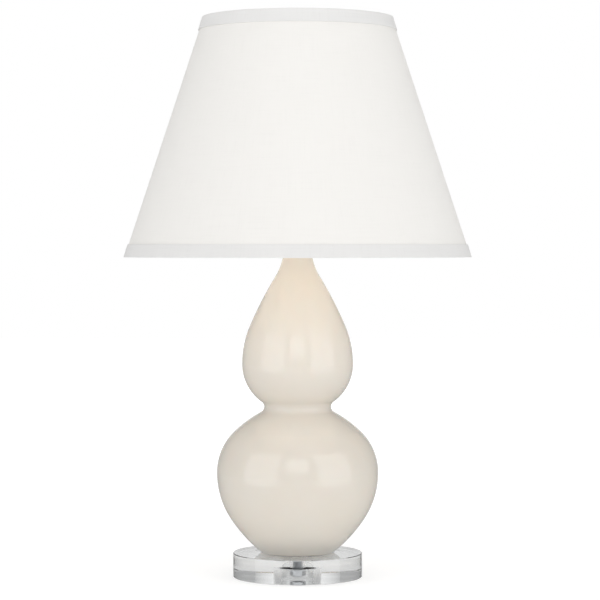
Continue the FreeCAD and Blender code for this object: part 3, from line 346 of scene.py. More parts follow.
@dataclass(frozen=True)
class Cloth:
    """Fine woven cloth with slubs in its threads."""

    slot: str
    colour: Colour
    pitch: float = 0.5 * MM
    wander: float = 0.4
    slub_waves: float = 900
    slub_stretch: float = 0.03
    dim_share: float = 0.05
    dim_slubs: Spot = (-0.6, 0.9)
    roughness: Spot = (0.82, 0.95)
    sheen: float = 0.12
    sheen_roughness: float = 0.5
    shine: float = 0.25
    weave_depth: float = 0.06 * MM
    weave_share: float = 0.5

    def material(self) -> bpy.types.Material:
        """Makes the cloth.

        Returns:
            Its material.
        """
        tree = Tree(self.slot, Chart.CLOTH)
        threads = tree.sum(*[tree.ridges(self.pitch, axis, self.wander) for axis in "XY"])
        slubs = tree.sum(tree.noise(self.slub_waves, stretch=(1, self.slub_stretch, 1)),
                         tree.noise(self.slub_waves, stretch=(self.slub_stretch, 1, 1)))
        dim = darker(self.colour, self.dim_share)
        tree.feed("Base Color", tree.shades(tree.range(slubs, self.dim_slubs), dim, self.colour))
        tree.feed("Roughness", tree.range(threads, self.roughness))
        tree.set(Sheen_Weight=self.sheen, Sheen_Roughness=self.sheen_roughness,
                 Specular_IOR_Level=self.shine)
        tree.bump(tree.sum(threads, slubs), self.weave_depth, self.weave_share)
        return tree.material


@dataclass(frozen=True)
class Metal:
    """Plated or bare metal with fine marks from its polishing."""

    slot: str
    colour: Colour
    roughness: float = 0.3
    dim_share: float = 0.08
    dim_waves: float = 70
    mark_waves: float = 1400
    mark_stretch: Place = (0.08, 0.08, 1)
    mark_roughness: Spot = (-0.07, 0.09)
    mark_depth: float = 0.02 * MM
    mark_share: float = 0.3

    def material(self) -> bpy.types.Material:
        """Makes the metal.

        Returns:
            Its material.
        """
        tree = Tree(self.slot)
        tree.set(Metallic=1.0)
        tree.vary(self.colour, self.dim_share, self.dim_waves)
        marks = tree.noise(self.mark_waves, stretch=self.mark_stretch)
        tree.roughen(marks, self.roughness, self.mark_roughness)
        tree.bump(marks, self.mark_depth, self.mark_share)
        return tree.material


@dataclass(frozen=True)
class Moulded:
    """Moulded plastic or black glass, or pressed paper."""

    slot: str
    colour: Colour
    roughness: float = 0.45
    dim_share: float = 0.05
    dim_waves: float = 90
    pore_waves: float = 900
    pore_roughness: Spot = (-0.06, 0.08)
    pore_depth: float = 0.03 * MM
    pore_share: float = 0.3

    def material(self) -> bpy.types.Material:
        """Makes the plastic.

        Returns:
            Its material.
        """
        tree = Tree(self.slot)
        tree.vary(self.colour, self.dim_share, self.dim_waves)
        pores = tree.noise(self.pore_waves, detail=3)
        tree.roughen(pores, self.roughness, self.pore_roughness)
        tree.bump(pores, self.pore_depth, self.pore_share)
        return tree.material


@dataclass(frozen=True)
class Clear:
    """Clear or frosted plastic or glass, matt and streaked where a cutter has left it so."""

    slot: str
    colour: Colour
    polish: float = 0.0
    index: float = 1.49
    frost: float = 0.0
    matt: float = 0.0
    matt_within: float = 0.0
    dim_share: float = 0.02
    dim_waves: float = 12
    haze_waves: float = 200
    haze: Spot = (0, 0.03)
    streak_waves: float = 420
    streak_stretch: Place = (1, 1, 0.05)
    streak_depth: float = 0.25 * MM
    streak_share: float = 0.8

    def material(self) -> bpy.types.Material:
        """Makes the clear stuff.

        Returns:
            Its material.
        """
        tree = Tree(self.slot)
        tree.vary(self.colour, self.dim_share, self.dim_waves, detail=2)
        tree.set(Transmission_Weight=1 - self.frost, IOR=self.index)
        if self.matt_within:
            cut = tree.math("LESS_THAN", tree.reach(tree.place()), self.matt_within)
            tree.feed("Roughness", tree.range(cut, (self.polish, self.matt)))
            streaks = tree.noise(self.streak_waves, stretch=self.streak_stretch)
            tree.bump(tree.math("MULTIPLY", cut, streaks), self.streak_depth, self.streak_share)
        else:
            tree.roughen(tree.noise(self.haze_waves), self.polish, self.haze)
        return tree.material


Finish = Glaze | Cloth | Metal | Moulded | Clear

GLAZE = Glaze()
SHADE_CLOTH = Cloth("shade_fabric", (0.925, 0.91, 0.88))
TRIM_CLOTH = Cloth("trim_fabric", (0.835, 0.83, 0.82))
STYRENE = Moulded("white_styrene", (0.93, 0.93, 0.90), 0.5)
NICKEL = Metal("satin_nickel", (0.70, 0.68, 0.64), 0.28)
ZINC = Metal("zinc_steel", (0.60, 0.61, 0.63), 0.34)
BRASS = Metal("brass", (0.78, 0.60, 0.32), 0.30)
ALUMINIUM = Metal("aluminium", (0.86, 0.87, 0.88), 0.25)
TUNGSTEN = Metal("filament_wire", (0.40, 0.39, 0.38), 0.40)
PHENOLIC = Moulded("black_phenolic", (0.04, 0.037, 0.034), 0.35)
PAPER = Moulded("insulating_paper", (0.72, 0.66, 0.54), 0.75)
NYLON = Moulded("white_nylon", (0.88, 0.88, 0.86), 0.30)
ACRYLIC = Clear("clear_acrylic", (0.97, 0.98, 0.98), matt=0.26, matt_within=17 * MM)
SOFT_CLEAR = Clear("soft_clear", (0.94, 0.95, 0.95), polish=0.10, index=1.45)
FROSTED = Clear("frosted_glass", (0.96, 0.95, 0.92), polish=0.3, index=1.5, frost=0.8)
STEM_GLASS = Clear("clear_glass", (0.96, 0.98, 0.98), index=1.5)
BLACK_GLASS = Moulded("black_glass", (0.02, 0.02, 0.022), 0.12)


@cache
def made(finish: Finish) -> bpy.types.Material:
    """Material of a finish, made once."""
    return finish.material()


def dress(finish: Finish, *nodes: str) -> None:
    """Gives solids a finish.

    Args:
        finish: the finish.
        nodes: names of the solids.
    """
    for node in nodes:
        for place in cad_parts[node].material_slots:
            place.material = made(finish)
        log.info("dressed %s in %s", node, finish.slot)


# ------------------------------------------------------------------ meshes

def linked(name: str, data: bpy.types.ID) -> bpy.types.Object:
    """Adds an object to the scene.

    Args:
        name: name of the object.
        data: its mesh, light or camera.

    Returns:
        The object.
    """
    thing = bpy.data.objects.new(name, data)
    bpy.context.collection.objects.link(thing)
    return thing


def cast(mesh: bmesh.types.BMesh, name: str, material: bpy.types.Material) -> bpy.types.Object:
    """Turns a bmesh into an object.

    Args:
        mesh: the shape, which is used up.
        name: name of the object.
        material: what it is made of.

    Returns:
        The object.
    """
    data = bpy.data.meshes.new(name)
    mesh.to_mesh(data)
    mesh.free()
    data.materials.append(material)
    return linked(name, data)


def settle(mesh: bmesh.types.BMesh, name: str, finish: Finish, body: str, stands_for: str | None = None
           ) -> bpy.types.Object:
    """Turns a finished bmesh into a smooth piece that rides on a body.

    Args:
        mesh: the shape, in the lamp's own frame.
        name: name of the piece.
        finish: what it is made of.
        body: the body that carries it.
        stands_for: solid that it replaces, if any.

    Returns:
        The piece.
    """
    bmesh.ops.remove_doubles(mesh, verts=mesh.verts, dist=WELD)
    bmesh.ops.recalc_face_normals(mesh, faces=mesh.faces)
    piece = cast(mesh, name, made(finish))
    piece.data.shade_smooth()
    piece.data.set_sharp_from_angle(angle=CREASE)
    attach(piece, body)
    if stands_for:
        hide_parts(stands_for)
    log.info("made %s: %d faces", name, len(piece.data.polygons))
    return piece


def whole(mesh: bmesh.types.BMesh) -> list:
    """Everything that a mesh holds."""
    return mesh.verts[:] + mesh.edges[:] + mesh.faces[:]


def tip(mesh: bmesh.types.BMesh, angle: float, place: Place) -> None:
    """Tips a shape about the X axis, then moves it.

    Args:
        mesh: the shape.
        angle: how far it is tipped, in radians.
        place: where its origin goes.
    """
    bmesh.ops.rotate(mesh, verts=mesh.verts, cent=(0, 0, 0), matrix=Matrix.Rotation(angle, 3, "X"))
    bmesh.ops.translate(mesh, verts=mesh.verts, vec=place)


def turned(corners: list[Spot], steps: int) -> bmesh.types.BMesh:
    """Turns a closed outline about the lamp's axis.

    Args:
        corners: radius and height of each corner, in metres.
        steps: divisions of the full turn.

    Returns:
        A closed shape.
    """
    mesh = bmesh.new()
    verts = [mesh.verts.new((radius, 0, height)) for radius, height in corners]
    edges = [mesh.edges.new(pair) for pair in zip(verts, verts[1:] + verts[:1])]
    bmesh.ops.spin(mesh, geom=verts + edges, cent=(0, 0, 0), axis=(0, 0, 1), angle=TURN, steps=steps,
                   use_merge=True)
    bmesh.ops.remove_doubles(mesh, verts=mesh.verts, dist=WELD)
    bmesh.ops.delete(mesh, geom=[edge for edge in mesh.edges if edge.is_wire], context="EDGES")
    bmesh.ops.recalc_face_normals(mesh, faces=mesh.faces)
    return mesh


def flute(mesh: bmesh.types.BMesh, low: float, high: float, least: float, depth: float, steps: int) -> None:
    """Cuts a groove into every other column of a turned wall.

    Args:
        mesh: the turned shape.
        low: where the grooves start.
        high: where they end.
        least: radius that the wall lies outside of.
        depth: of a groove.
        steps: divisions of the full turn.
    """
    picked = []
    for face in mesh.faces:
        middle = face.calc_center_median()
        column = int(math.atan2(middle.y, middle.x) % TURN / TURN * steps)
        if column % 2 and low < middle.z < high and math.hypot(middle.x, middle.y) > least:
            picked.append(face)
    bmesh.ops.inset_individual(mesh, faces=picked, thickness=depth / 3, depth=-depth)


def hoop(mesh: bmesh.types.BMesh, ring: Spot, steps: int) -> list[bmesh.types.BMEdge]:
    """Adds a circle about the lamp's axis.

    Args:
        mesh: takes the circle.
        ring: its radius and height.
        steps: number of its edges.

    Returns:
        Its edges.
    """
    level = Matrix.Translation((0, 0, ring[1]))
    verts = bmesh.ops.create_circle(mesh, segments=steps, radius=ring[0], matrix=level)["verts"]
    return list({edge for vert in verts for edge in vert.link_edges})


@dataclass(frozen=True)
class Thread:
    """Right-handed screw thread on the outside of a tube."""

    crest: float
    root: float
    pitch: float
    low: float
    high: float
    steps: int = 24
    crest_share: float = 0.12

    @staticmethod
    def rim(mesh: bmesh.types.BMesh, level: float) -> list[bmesh.types.BMEdge]:
        """Open edges of a mesh at one height."""
        return [edge for edge in mesh.edges
                if edge.is_boundary and all(abs(vert.co.z - level) < WELD for vert in edge.verts)]

    def tube(self, below: list[Spot], above: list[Spot]) -> bmesh.types.BMesh:
        """Winds one turn, stacks copies of it, cuts the ends square and closes them onto a bore.

        Args:
            below: radius and height of the rings under it, outside first.
            above: those of the rings over it, outside first.

        Returns:
            The closed tube.
        """
        mesh = bmesh.new()
        flank = [(self.crest, 0.0), (self.crest, self.crest_share), (self.root, 0.5),
                 (self.crest, 1 - self.crest_share), (self.crest, 1.0)]
        bottom = self.low - 2 * self.pitch
        verts = [mesh.verts.new((radius, 0, bottom + share * self.pitch)) for radius, share in flank]
        edges = [mesh.edges.new(pair) for pair in zip(verts, verts[1:])]
        bmesh.ops.spin(mesh, geom=verts + edges, cent=(0, 0, 0), axis=(0, 0, 1), angle=TURN,
                       steps=self.steps, dvec=(0, 0, self.pitch / self.steps))
        turns = 1
        while bottom + turns * self.pitch < self.high:
            copied = bmesh.ops.duplicate(mesh, geom=whole(mesh))["geom"]
            verts = [part for part in copied if isinstance(part, bmesh.types.BMVert)]
            bmesh.ops.translate(mesh, verts=verts, vec=(0, 0, turns * self.pitch))
            turns *= 2
        bmesh.ops.remove_doubles(mesh, verts=mesh.verts, dist=WELD)
        for level, way in ((self.low, -1), (self.high, 1)):
            bmesh.ops.bisect_plane(mesh, geom=whole(mesh), dist=WELD / 10, plane_co=(0, 0, level),
                                   plane_no=(0, 0, way), clear_outer=True)
        inner = []
        for level, rings in ((self.low, below), (self.high, above)):
            last = self.rim(mesh, level)
            for ring in rings:
                following = hoop(mesh, ring, self.steps * 2)
                bmesh.ops.bridge_loops(mesh, edges=last + following)
                last = following
            inner += last
        bmesh.ops.bridge_loops(mesh, edges=inner)
        return mesh


def chart_cloth(mesh: bmesh.types.BMesh, radius: float) -> None:
    """Lays the weave round the shade and up its slant, in metres.

    Args:
        mesh: the cloth, turned about the axis.
        radius: where the threads keep their true spacing.
    """
    layer = mesh.loops.layers.uv.new("Weave")
    for face in mesh.faces:
        middle = math.atan2(face.calc_center_median().y, face.calc_center_median().x)
        for loop in face.loops:
            turn = math.atan2(loop.vert.co.y, loop.vert.co.x)
            turn += TURN * round((middle - turn) / TURN)
            reach = math.hypot(loop.vert.co.x, loop.vert.co.y)
            loop[layer].uv = (turn * radius, loop.vert.co.z - reach * WEAVE_LEAN)


def soften(piece: bpy.types.Object, width: float, segments: int = 3) -> None:
    """Rounds the sharp edges of a piece.

    Args:
        piece: the piece.
        width: of the rounding, in metres.
        segments: steps across it.
    """
    bevel = piece.modifiers.new("SoftEdges", "BEVEL")
    bevel.width = width
    bevel.segments = segments
    bevel.limit_method = "ANGLE"


# ------------------------------------------------------------------ sub-assemblies

@dataclass
class Foot:
    """Clear base with its small clear parts, and the threaded pipe, nuts and washers seen through it."""

    bumper_radius: float = 5.0 * MM
    bumper_ring: float = 54.8 * MM
    bumper_count: int = 4
    bumper_steps: int = 48
    gasket_bore: float = 5.45 * MM
    gasket_steps: int = 128
    bushing_bore: float = 3.2 * MM
    bushing_radius: float = 3.9 * MM
    bushing_tube: float = 14.0 * MM
    bushing_steps: int = 64
    edge: float = 0.2 * MM
    pipe_crest: float = 4.85 * MM
    pipe_root: float = 4.35 * MM
    pipe_pitch: float = 25.4 / 27 * MM
    pipe_bore: float = 3.3 * MM
    pipe_bevel: float = 0.5 * MM

    def pipe(self) -> None:
        """Lamp pipe, threaded from end to end."""
        low, high = (corner.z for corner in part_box("lamp_pipe"))
        thread = Thread(self.pipe_crest, self.pipe_root, self.pipe_pitch, low + self.pipe_bevel,
                        high - self.pipe_bevel)
        mesh = thread.tube([(self.pipe_root, low), (self.pipe_bore, low)],
                           [(self.pipe_root, high), (self.pipe_bore, high)])
        settle(mesh, "threaded_pipe", ZINC, "lamp", "lamp_pipe")

    def bumpers(self) -> None:
        """Clear bumpers under the disc."""
        low, high = (corner.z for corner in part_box("base_bumpers"))
        mesh = bmesh.new()
        for number in range(self.bumper_count):
            turn = Matrix.Rotation(TURN * (number + 0.5) / self.bumper_count, 4, "Z")
            place = turn @ Matrix.Translation((self.bumper_ring, 0, (low + high - AIR) / 2))
            bmesh.ops.create_cone(mesh, cap_ends=True, segments=self.bumper_steps,
                                  radius1=self.bumper_radius, radius2=self.bumper_radius,
                                  depth=high - low - AIR, matrix=place)
        soften(settle(mesh, "clear_bumpers", SOFT_CLEAR, "lamp", "base_bumpers"), self.edge)

    def gasket(self) -> None:
        """Thin clear ring between disc and ceramic."""
        low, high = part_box("foot_gasket")
        mesh = turned([
            (self.gasket_bore, low.z + AIR),
            (high.x, low.z + AIR),
            (high.x, high.z - AIR),
            (self.gasket_bore, high.z - AIR),
        ], self.gasket_steps)
        settle(mesh, "clear_gasket", SOFT_CLEAR, "lamp", "foot_gasket")

    def bushing(self) -> None:
        """Clear flanged bushing in the cord's way out at the back."""
        low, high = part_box("cord_bushing")
        length = high.y - low.y
        mesh = turned([
            (self.bushing_bore, 0),
            (self.bushing_radius, 0),
            (self.bushing_radius, self.bushing_tube + AIR),
            (high.x, self.bushing_tube + AIR),
            (high.x, length),
            (self.bushing_bore, length),
        ], self.bushing_steps)
        tip(mesh, -TURN / 4, (0, low.y, (low.z + high.z) / 2))
        soften(settle(mesh, "clear_bushing", SOFT_CLEAR, "lamp", "cord_bushing"), self.edge)

    def build(self) -> None:
        """Makes the pipe and the clear small parts, and dresses the other solids of the foot."""
        self.pipe()
        self.bumpers()
        self.gasket()
        self.bushing()
        dress(ACRYLIC, "base_disc")
        dress(ZINC, "base_washer", "lock_washer", "lock_nuts")


@dataclass
class Gourd:
    """Ceramic body and the fittings on its neck."""

    glaze: Glaze = GLAZE

    def build(self) -> None:
        """Dresses the solids of the body."""
        dress(self.glaze, "gourd_body")
        dress(NYLON, "neck_plug")
        dress(NICKEL, "vase_cap", "check_ring")


@dataclass
class Light:
    """Socket, switch and bulb."""

    cap_crest: float = 13.0 * MM
    cap_root: float = 12.66 * MM
    cap_inside: float = 12.55 * MM
    cap_hole: float = 9.5 * MM
    cap_hole_rim: float = 9.9 * MM
    cap_shoulder: float = 2.3 * MM
    cap_floor: float = 2.76 * MM
    cap_plain: float = 3.6 * MM
    cap_collar: float = 3.24 * MM
    cap_pitch: float = 3.629 * MM
    cap_steps: int = 48
    cap_crest_share: float = 0.2
    knob_bore: float = 1.7 * MM
    knob_bore_depth: float = 9.7 * MM
    knob_columns: int = 36
    knob_outline: tuple[Spot, ...] = ((5.50, 0.0), (5.40, 1.1), (5.22, 1.5), (4.62, 10.4), (4.50, 11.5),
                                      (4.06, 12.56), (3.00, 13.0), (0.0, 13.0))
    knob_groove: float = 0.4 * MM
    knob_edge: float = 0.1 * MM

    def bulb_cap(self) -> None:
        """Metal cap of the bulb with its rolled thread."""
        low, high = (corner.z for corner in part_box("bulb_cap"))
        thread = Thread(self.cap_crest, self.cap_root, self.cap_pitch, low + self.cap_shoulder,
                        high - self.cap_plain, self.cap_steps, self.cap_crest_share)
        mesh = thread.tube([(self.cap_hole_rim, low), (self.cap_hole, low)],
                           [(self.cap_crest, high - self.cap_collar), (self.cap_crest, high),
                            (self.cap_inside, high), (self.cap_inside, low + self.cap_floor)])
        settle(mesh, "threaded_bulb_cap", ALUMINIUM, "bulb", "bulb_cap")

    def knob(self) -> None:
        """Ribbed knob of the switch, on its spindle."""
        low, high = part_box("switch_knob")
        outline = [(radius * MM, height * MM) for radius, height in self.knob_outline]
        bore = [(0.0, self.knob_bore_depth), (self.knob_bore, self.knob_bore_depth), (self.knob_bore, 0.0)]
        mesh = turned(outline + bore, self.knob_columns)
        (_, skirt), (_, brow) = outline[2:4]
        flute(mesh, skirt, brow, 2 * self.knob_bore, self.knob_groove, self.knob_columns)
        tip(mesh, TURN / 4, (0, high.y, (low.z + high.z) / 2))
        soften(settle(mesh, "ribbed_knob", PHENOLIC, "switch", "switch_knob"), self.knob_edge, segments=2)

    def build(self) -> None:
        """Makes cap and knob, and dresses the solids of the socket, the switch and the bulb."""
        self.bulb_cap()
        self.knob()
        dress(NICKEL, "socket_cap", "socket_shell")
        dress(ZINC, "socket_set_screw", "bulb_tip_contact")
        dress(PAPER, "socket_liner")
        dress(PHENOLIC, "socket_core", "switch_cam")
        dress(BRASS, "terminal_screws", "centre_contact", "switch_spindle")
        dress(ALUMINIUM, "socket_screw_shell")
        dress(FROSTED, "bulb_glass")
        dress(STEM_GLASS, "bulb_stem")
        dress(BLACK_GLASS, "bulb_insulator")
        dress(TUNGSTEN, "bulb_filament")


class Side(Enum):
    """Side of the harp."""

    LEFT = "left"
    RIGHT = "right"


@dataclass
class Harp:
    """Harp with its saddle, locking sleeves and swivel stud, and the finial on it."""

    sleeve_bore: float = 1.9 * MM
    sleeve_bevel: float = 0.6 * MM
    sleeve_collar: float = 1.6 * MM
    sleeve_columns: int = 48
    sleeve_groove: float = 0.22 * MM

    def sleeve(self, side: Side) -> None:
        """Knurled sleeve that locks a leg of the harp on its post.

        Args:
            side: which leg.
        """
        name = f"sleeve_{side.value}"
        low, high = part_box(f"harp_{name}")
        radius = (high.x - low.x) / 2
        outline = [
            (self.sleeve_bore, low.z),
            (radius - self.sleeve_bevel, low.z),
            (radius, low.z + self.sleeve_bevel),
            (radius, low.z + self.sleeve_collar),
            (radius, high.z - self.sleeve_collar),
            (radius, high.z - self.sleeve_bevel),
            (radius - self.sleeve_bevel, high.z),
            (self.sleeve_bore, high.z),
        ]
        mesh = turned(outline, self.sleeve_columns)
        flute(mesh, low.z + self.sleeve_collar, high.z - self.sleeve_collar,
              (radius + self.sleeve_bore) / 2, self.sleeve_groove, self.sleeve_columns)
        bmesh.ops.translate(mesh, verts=mesh.verts, vec=((low.x + high.x) / 2, 0, 0))
        settle(mesh, f"knurled_{name}", NICKEL, name, f"harp_{name}")

    def build(self) -> None:
        """Makes the sleeves and dresses the solids of the harp."""
        for side in Side:
            self.sleeve(side)
        dress(NICKEL, "harp_saddle", "harp_bow", "harp_yoke", "harp_stud", "finial_knob")
        dress(BRASS, "finial_insert")


@dataclass
class Shade:
    """Empire shade: cloth on styrene, its wire frame and the folded bands at both edges."""

    top_radius: float = 96.2 * MM
    bottom_radius: float = 175.9 * MM
    bottom: float = 327.1 * MM
    top: float = 569.7 * MM
    cloth: float = 0.6 * MM
    gap: float = 0.1 * MM
    band: float = 12.4 * MM
    band_thickness: float = 1.2 * MM
    fold: float = 6.0 * MM
    fold_thickness: float = 0.8 * MM
    top_lip: float = 92.41 * MM
    bottom_lip: float = 171.13 * MM
    lap: float = 12.0 * MM
    steps: int = 192
    rows: int = 24
    cloth_flat: Spot = (0.943, 0.393)
    cloth_area: float = 0.2205
    band_width: float = 0.026
    top_length: float = 0.609
    bottom_length: float = 1.093
    band_edge: float = 0.35 * MM

    def slope(self) -> float:
        """Growth of the radius for each metre down."""
        return (self.bottom_radius - self.top_radius) / (self.top - self.bottom)

    def middle_radius(self) -> float:
        """Radius half way up."""
        return (self.top_radius + self.bottom_radius) / 2

    def skin(self) -> None:
        """The cloth itself, a cone with the thickness of the cloth."""
        outer = [(self.bottom_radius + (self.top_radius - self.bottom_radius) * row / self.rows,
                  self.bottom + (self.top - self.bottom) * row / self.rows)
                 for row in range(self.rows + 1)]
        inner = [(radius - self.cloth, height) for radius, height in reversed(outer)]
        mesh = turned(outer + inner, self.steps)
        chart_cloth(mesh, self.middle_radius())
        piece = settle(mesh, "shade_cloth", SHADE_CLOTH, "shade", "shade_fabric")

    def lap_strip(self) -> None:
        """Edge of the cloth where it laps over itself down the back, between the bands."""
        run = math.hypot(self.top - self.bottom, self.bottom_radius - self.top_radius)
        length = run - 2 * self.band - 2 * self.fold_thickness
        lean = math.atan(self.slope())
        stand = self.gap + self.cloth / 2
        mesh = bmesh.new()
        bmesh.ops.create_grid(mesh, x_segments=2, y_segments=self.rows, size=0.5)
        bmesh.ops.scale(mesh, verts=mesh.verts, vec=(self.lap, length, 1))
        tip(mesh, TURN / 4 + lean, (
            0,
            self.middle_radius() + stand * math.cos(lean),
            (self.top + self.bottom) / 2 + stand * math.sin(lean),
        ))
        bmesh.ops.solidify(mesh, geom=mesh.faces[:], thickness=self.cloth / 2)
        chart_cloth(mesh, self.middle_radius())
        piece = settle(mesh, "lap_strip", SHADE_CLOTH, "shade")

    def top_band(self) -> None:
        """Band folded over the top edge."""
        edge = self.gap + self.fold_thickness
        low = self.top_radius + self.slope() * self.band + self.gap
        high = self.top_radius + self.gap
        mesh = turned([
            (low, self.top - self.band),
            (low + self.band_thickness, self.top - self.band),
            (high + self.band_thickness, self.top + edge),
            (self.top_lip - self.fold_thickness, self.top + edge),
            (self.top_lip - self.fold_thickness, self.top - self.fold),
            (self.top_lip, self.top - self.fold),
            (self.top_lip, self.top + self.gap),
            (high, self.top + self.gap),
        ], self.steps)
        self.finish_band(mesh, "top_band", "shade_top_trim", high)

    def bottom_band(self) -> None:
        """Band folded over the bottom edge."""
        edge = self.gap + self.fold_thickness
        high = self.bottom_radius - self.slope() * self.band + self.gap
        low = self.bottom_radius + self.gap
        mesh = turned([
            (low + self.band_thickness, self.bottom - edge),
            (high + self.band_thickness, self.bottom + self.band),
            (high, self.bottom + self.band),
            (low, self.bottom - self.gap),
            (self.bottom_lip, self.bottom - self.gap),
            (self.bottom_lip, self.bottom + self.fold),
            (self.bottom_lip - self.fold_thickness, self.bottom + self.fold),
            (self.bottom_lip - self.fold_thickness, self.bottom - edge),
        ], self.steps)
        self.finish_band(mesh, "bottom_band", "shade_bottom_trim", low)

    def finish_band(self, mesh: bmesh.types.BMesh, name: str, node: str, radius: float
                    ) -> None:
        """Charts, makes and softens a band.

        Args:
            mesh: its shape.
            name: name of the piece.
            node: solid that it stands for.
            radius: where its threads keep their true spacing.
        """
        chart_cloth(mesh, radius)
        piece = settle(mesh, name, TRIM_CLOTH, "shade", node)
        soften(piece, self.band_edge)

    def build(self) -> None:
        """Makes the cloth and its bands, and dresses the frame of the shade."""
        self.skin()
        self.lap_strip()
        self.top_band()
        self.bottom_band()
        dress(STYRENE, "shade_liner")
        dress(NICKEL, "spider_washer", "spider_arms")
        dress(ZINC, "shade_top_ring", "shade_bottom_ring")


# ------------------------------------------------------------------ studio

@dataclass(frozen=True)
class SoftBox:
    """Upright soft box that faces the lamp's axis squarely at one azimuth."""

    name: str
    azimuth: float
    distance: float
    shift: float
    height: float
    size: Spot
    power: float

    def build(self) -> None:
        """Hangs the box: azimuth 0 is the front, and a shift slides it along its own face."""
        turn = math.radians(self.azimuth)
        out = Vector((math.sin(turn), -math.cos(turn), 0))
        along = Vector((math.cos(turn), math.sin(turn), 0))
        data = bpy.data.lights.new(self.name, "AREA")
        data.shape = "RECTANGLE"
        data.size, data.size_y = self.size
        data.energy = self.power
        light = linked(self.name, data)
        light.location = out * self.distance + along * self.shift + Vector((0, 0, self.height))
        light.rotation_euler = (-out).to_track_quat("-Z", "Y").to_euler()


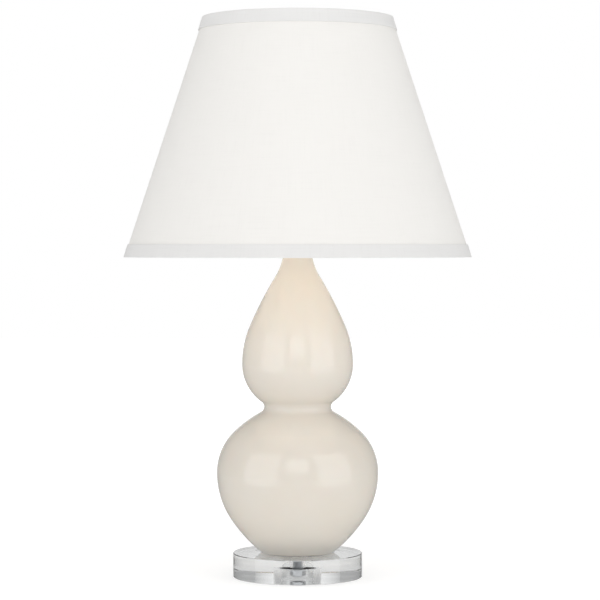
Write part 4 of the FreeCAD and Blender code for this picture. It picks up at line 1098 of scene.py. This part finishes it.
@dataclass
class Studio:
    """Pale floor, white surroundings, soft boxes, the glow of the bulb and the camera."""

    camera_distance: float = 2.346
    camera_height: float = 0.3376
    camera_shift: Spot = (0.004, -0.09)
    lens: float = 138.0
    sensor: float = 36.0
    boxes: tuple[SoftBox, ...] = (
        SoftBox("left_box", azimuth=-38, distance=1.8, shift=-0.652, height=0.665,
                size=(1.94, 2.03), power=16.3),
        SoftBox("right_box", azimuth=38, distance=1.8, shift=0.652, height=0.665,
                size=(1.94, 2.03), power=17.9),
        SoftBox("front_box", azimuth=0, distance=2.9, shift=0.0, height=1.315,
                size=(1.66, 1.476), power=12.7),
    )
    top_height: float = 2.2
    top_size: float = 1.6
    top_power: float = 7.0
    glow_power: float = 0.80
    glow_radius: float = 45 * MM
    glow_colour: Colour = (1.0, 0.82, 0.64)
    surround: float = 0.35
    # Y of a ray's way where the backdrop starts and ends to brighten, and its brightness there
    mirrored_turn: Spot = (0.93, 0.99)
    mirrored_world: Spot = (0.26, 0.80)
    seen_through_turn: Spot = (0.86, 0.97)
    seen_through_world: Spot = (0.45, 0.85)
    floor_size: float = 6.0
    # grey of the floor for soft light, then for the camera
    floor_colour: float = 0.8
    floor_seen: float = 0.45
    # its glow for the camera, from near the lamp to further out, then for other rays
    floor_glow: Spot = (0.72, 1.0)
    floor_reach: Spot = (0.35, 1.2)
    floor_seen_through: float = 0.47
    floor_bounce: float = 0.29

    def surroundings(self) -> None:
        """White to look at; gloss and clear stuff see a pale backdrop, dimmer at its sides."""
        world = bpy.data.worlds.new("Studio")
        bpy.context.scene.world = world
        world.use_nodes = True
        web = Web(world.node_tree)
        ray = web.add("ShaderNodeLightPath").outputs
        way = web.axes(web.add("ShaderNodeTexCoord").outputs["Generated"])["Y"]
        mirrored = web.spread(way, self.mirrored_turn, self.mirrored_world)
        through = web.spread(web.math("ABSOLUTE", way, 0.0), self.seen_through_turn, self.seen_through_world)
        strength = web.choose(ray["Is Glossy Ray"], self.surround, mirrored)
        strength = web.choose(ray["Is Transmission Ray"], strength, through)
        strength = web.choose(ray["Is Camera Ray"], strength, 1.0)
        background = web.nodes["Background"]
        background.inputs["Color"].default_value = (1, 1, 1, 1)
        web.links.new(strength, background.inputs["Strength"])

    def floor_material(self) -> bpy.types.Material:
        """Makes the pale floor, whose glow depends on the ray and turns it white further out.

        Returns:
            Its material.
        """
        material = bpy.data.materials.new("floor")
        material.use_nodes = True
        web = Web(material.node_tree)
        web.nodes.clear()
        ray = web.add("ShaderNodeLightPath").outputs
        shown = web.math("MAXIMUM", ray["Is Camera Ray"], ray["Is Transmission Ray"])
        grey = web.choose(shown, self.floor_colour, self.floor_seen)
        reach = web.reach(web.add("ShaderNodeTexCoord").outputs["Object"])
        glow = web.choose(ray["Is Transmission Ray"], self.floor_bounce, self.floor_seen_through)
        glow = web.choose(ray["Is Camera Ray"], glow, web.spread(reach, self.floor_reach, self.floor_glow))
        plain = web.add("ShaderNodeBsdfDiffuse", {"Color": grey})
        light = web.add("ShaderNodeEmission", {"Strength": glow})
        both = web.add("ShaderNodeAddShader", {0: plain.outputs[0], 1: light.outputs[0]})
        web.add("ShaderNodeOutputMaterial", {"Surface": both.outputs[0]})
        return material

    def floor(self) -> None:
        """Wide floor that keeps the lamp's shadow."""
        mesh = bmesh.new()
        bmesh.ops.create_grid(mesh, x_segments=1, y_segments=1, size=self.floor_size)
        bmesh.ops.translate(mesh, verts=mesh.verts, vec=(0, 0, -AIR))
        floor = cast(mesh, "floor", self.floor_material())
        floor.visible_glossy = False

    def overhead(self) -> None:
        """Square soft light above the lamp."""
        data = bpy.data.lights.new("top_box", "AREA")
        data.size = self.top_size
        data.energy = self.top_power
        linked("top_box", data).location = (0, 0, self.top_height)

    def glow(self) -> None:
        """Warm light about the bulb, which reaches the neck from inside the shade."""
        low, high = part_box("bulb_glass")
        data = bpy.data.lights.new("bulb_glow", "POINT")
        data.color = self.glow_colour
        data.energy = self.glow_power
        data.shadow_soft_size = self.glow_radius
        light = linked("bulb_glow", data)
        light.location = (0, 0, high.z - (high.x - low.x) / 2)
        light.visible_camera = light.visible_glossy = light.visible_transmission = False

    def camera(self) -> None:
        """Level camera in front of the lamp."""
        data = bpy.data.cameras.new("camera")
        data.lens = self.lens
        data.sensor_width = self.sensor
        data.shift_x, data.shift_y = self.camera_shift
        camera = linked("camera", data)
        camera.location = (0, -self.camera_distance, self.camera_height)
        camera.rotation_euler = (TURN / 4, 0, 0)
        bpy.context.scene.camera = camera

    def build(self) -> None:
        """Sets the studio up."""
        bpy.context.scene.view_settings.view_transform = "Standard"
        self.camera()
        self.surroundings()
        self.floor()
        for box in self.boxes:
            box.build()
        self.overhead()
        self.glow()


# ------------------------------------------------------------------ whole lamp


def main() -> None:
    """Builds the studio and the lamp, from the floor up."""
    logging.basicConfig(level=logging.INFO, format="%(message)s")
    for part in (Studio(), Foot(), Gourd(), Light(), Harp(), Shade()):
        part.build()


if __name__ == "__main__":
    main()
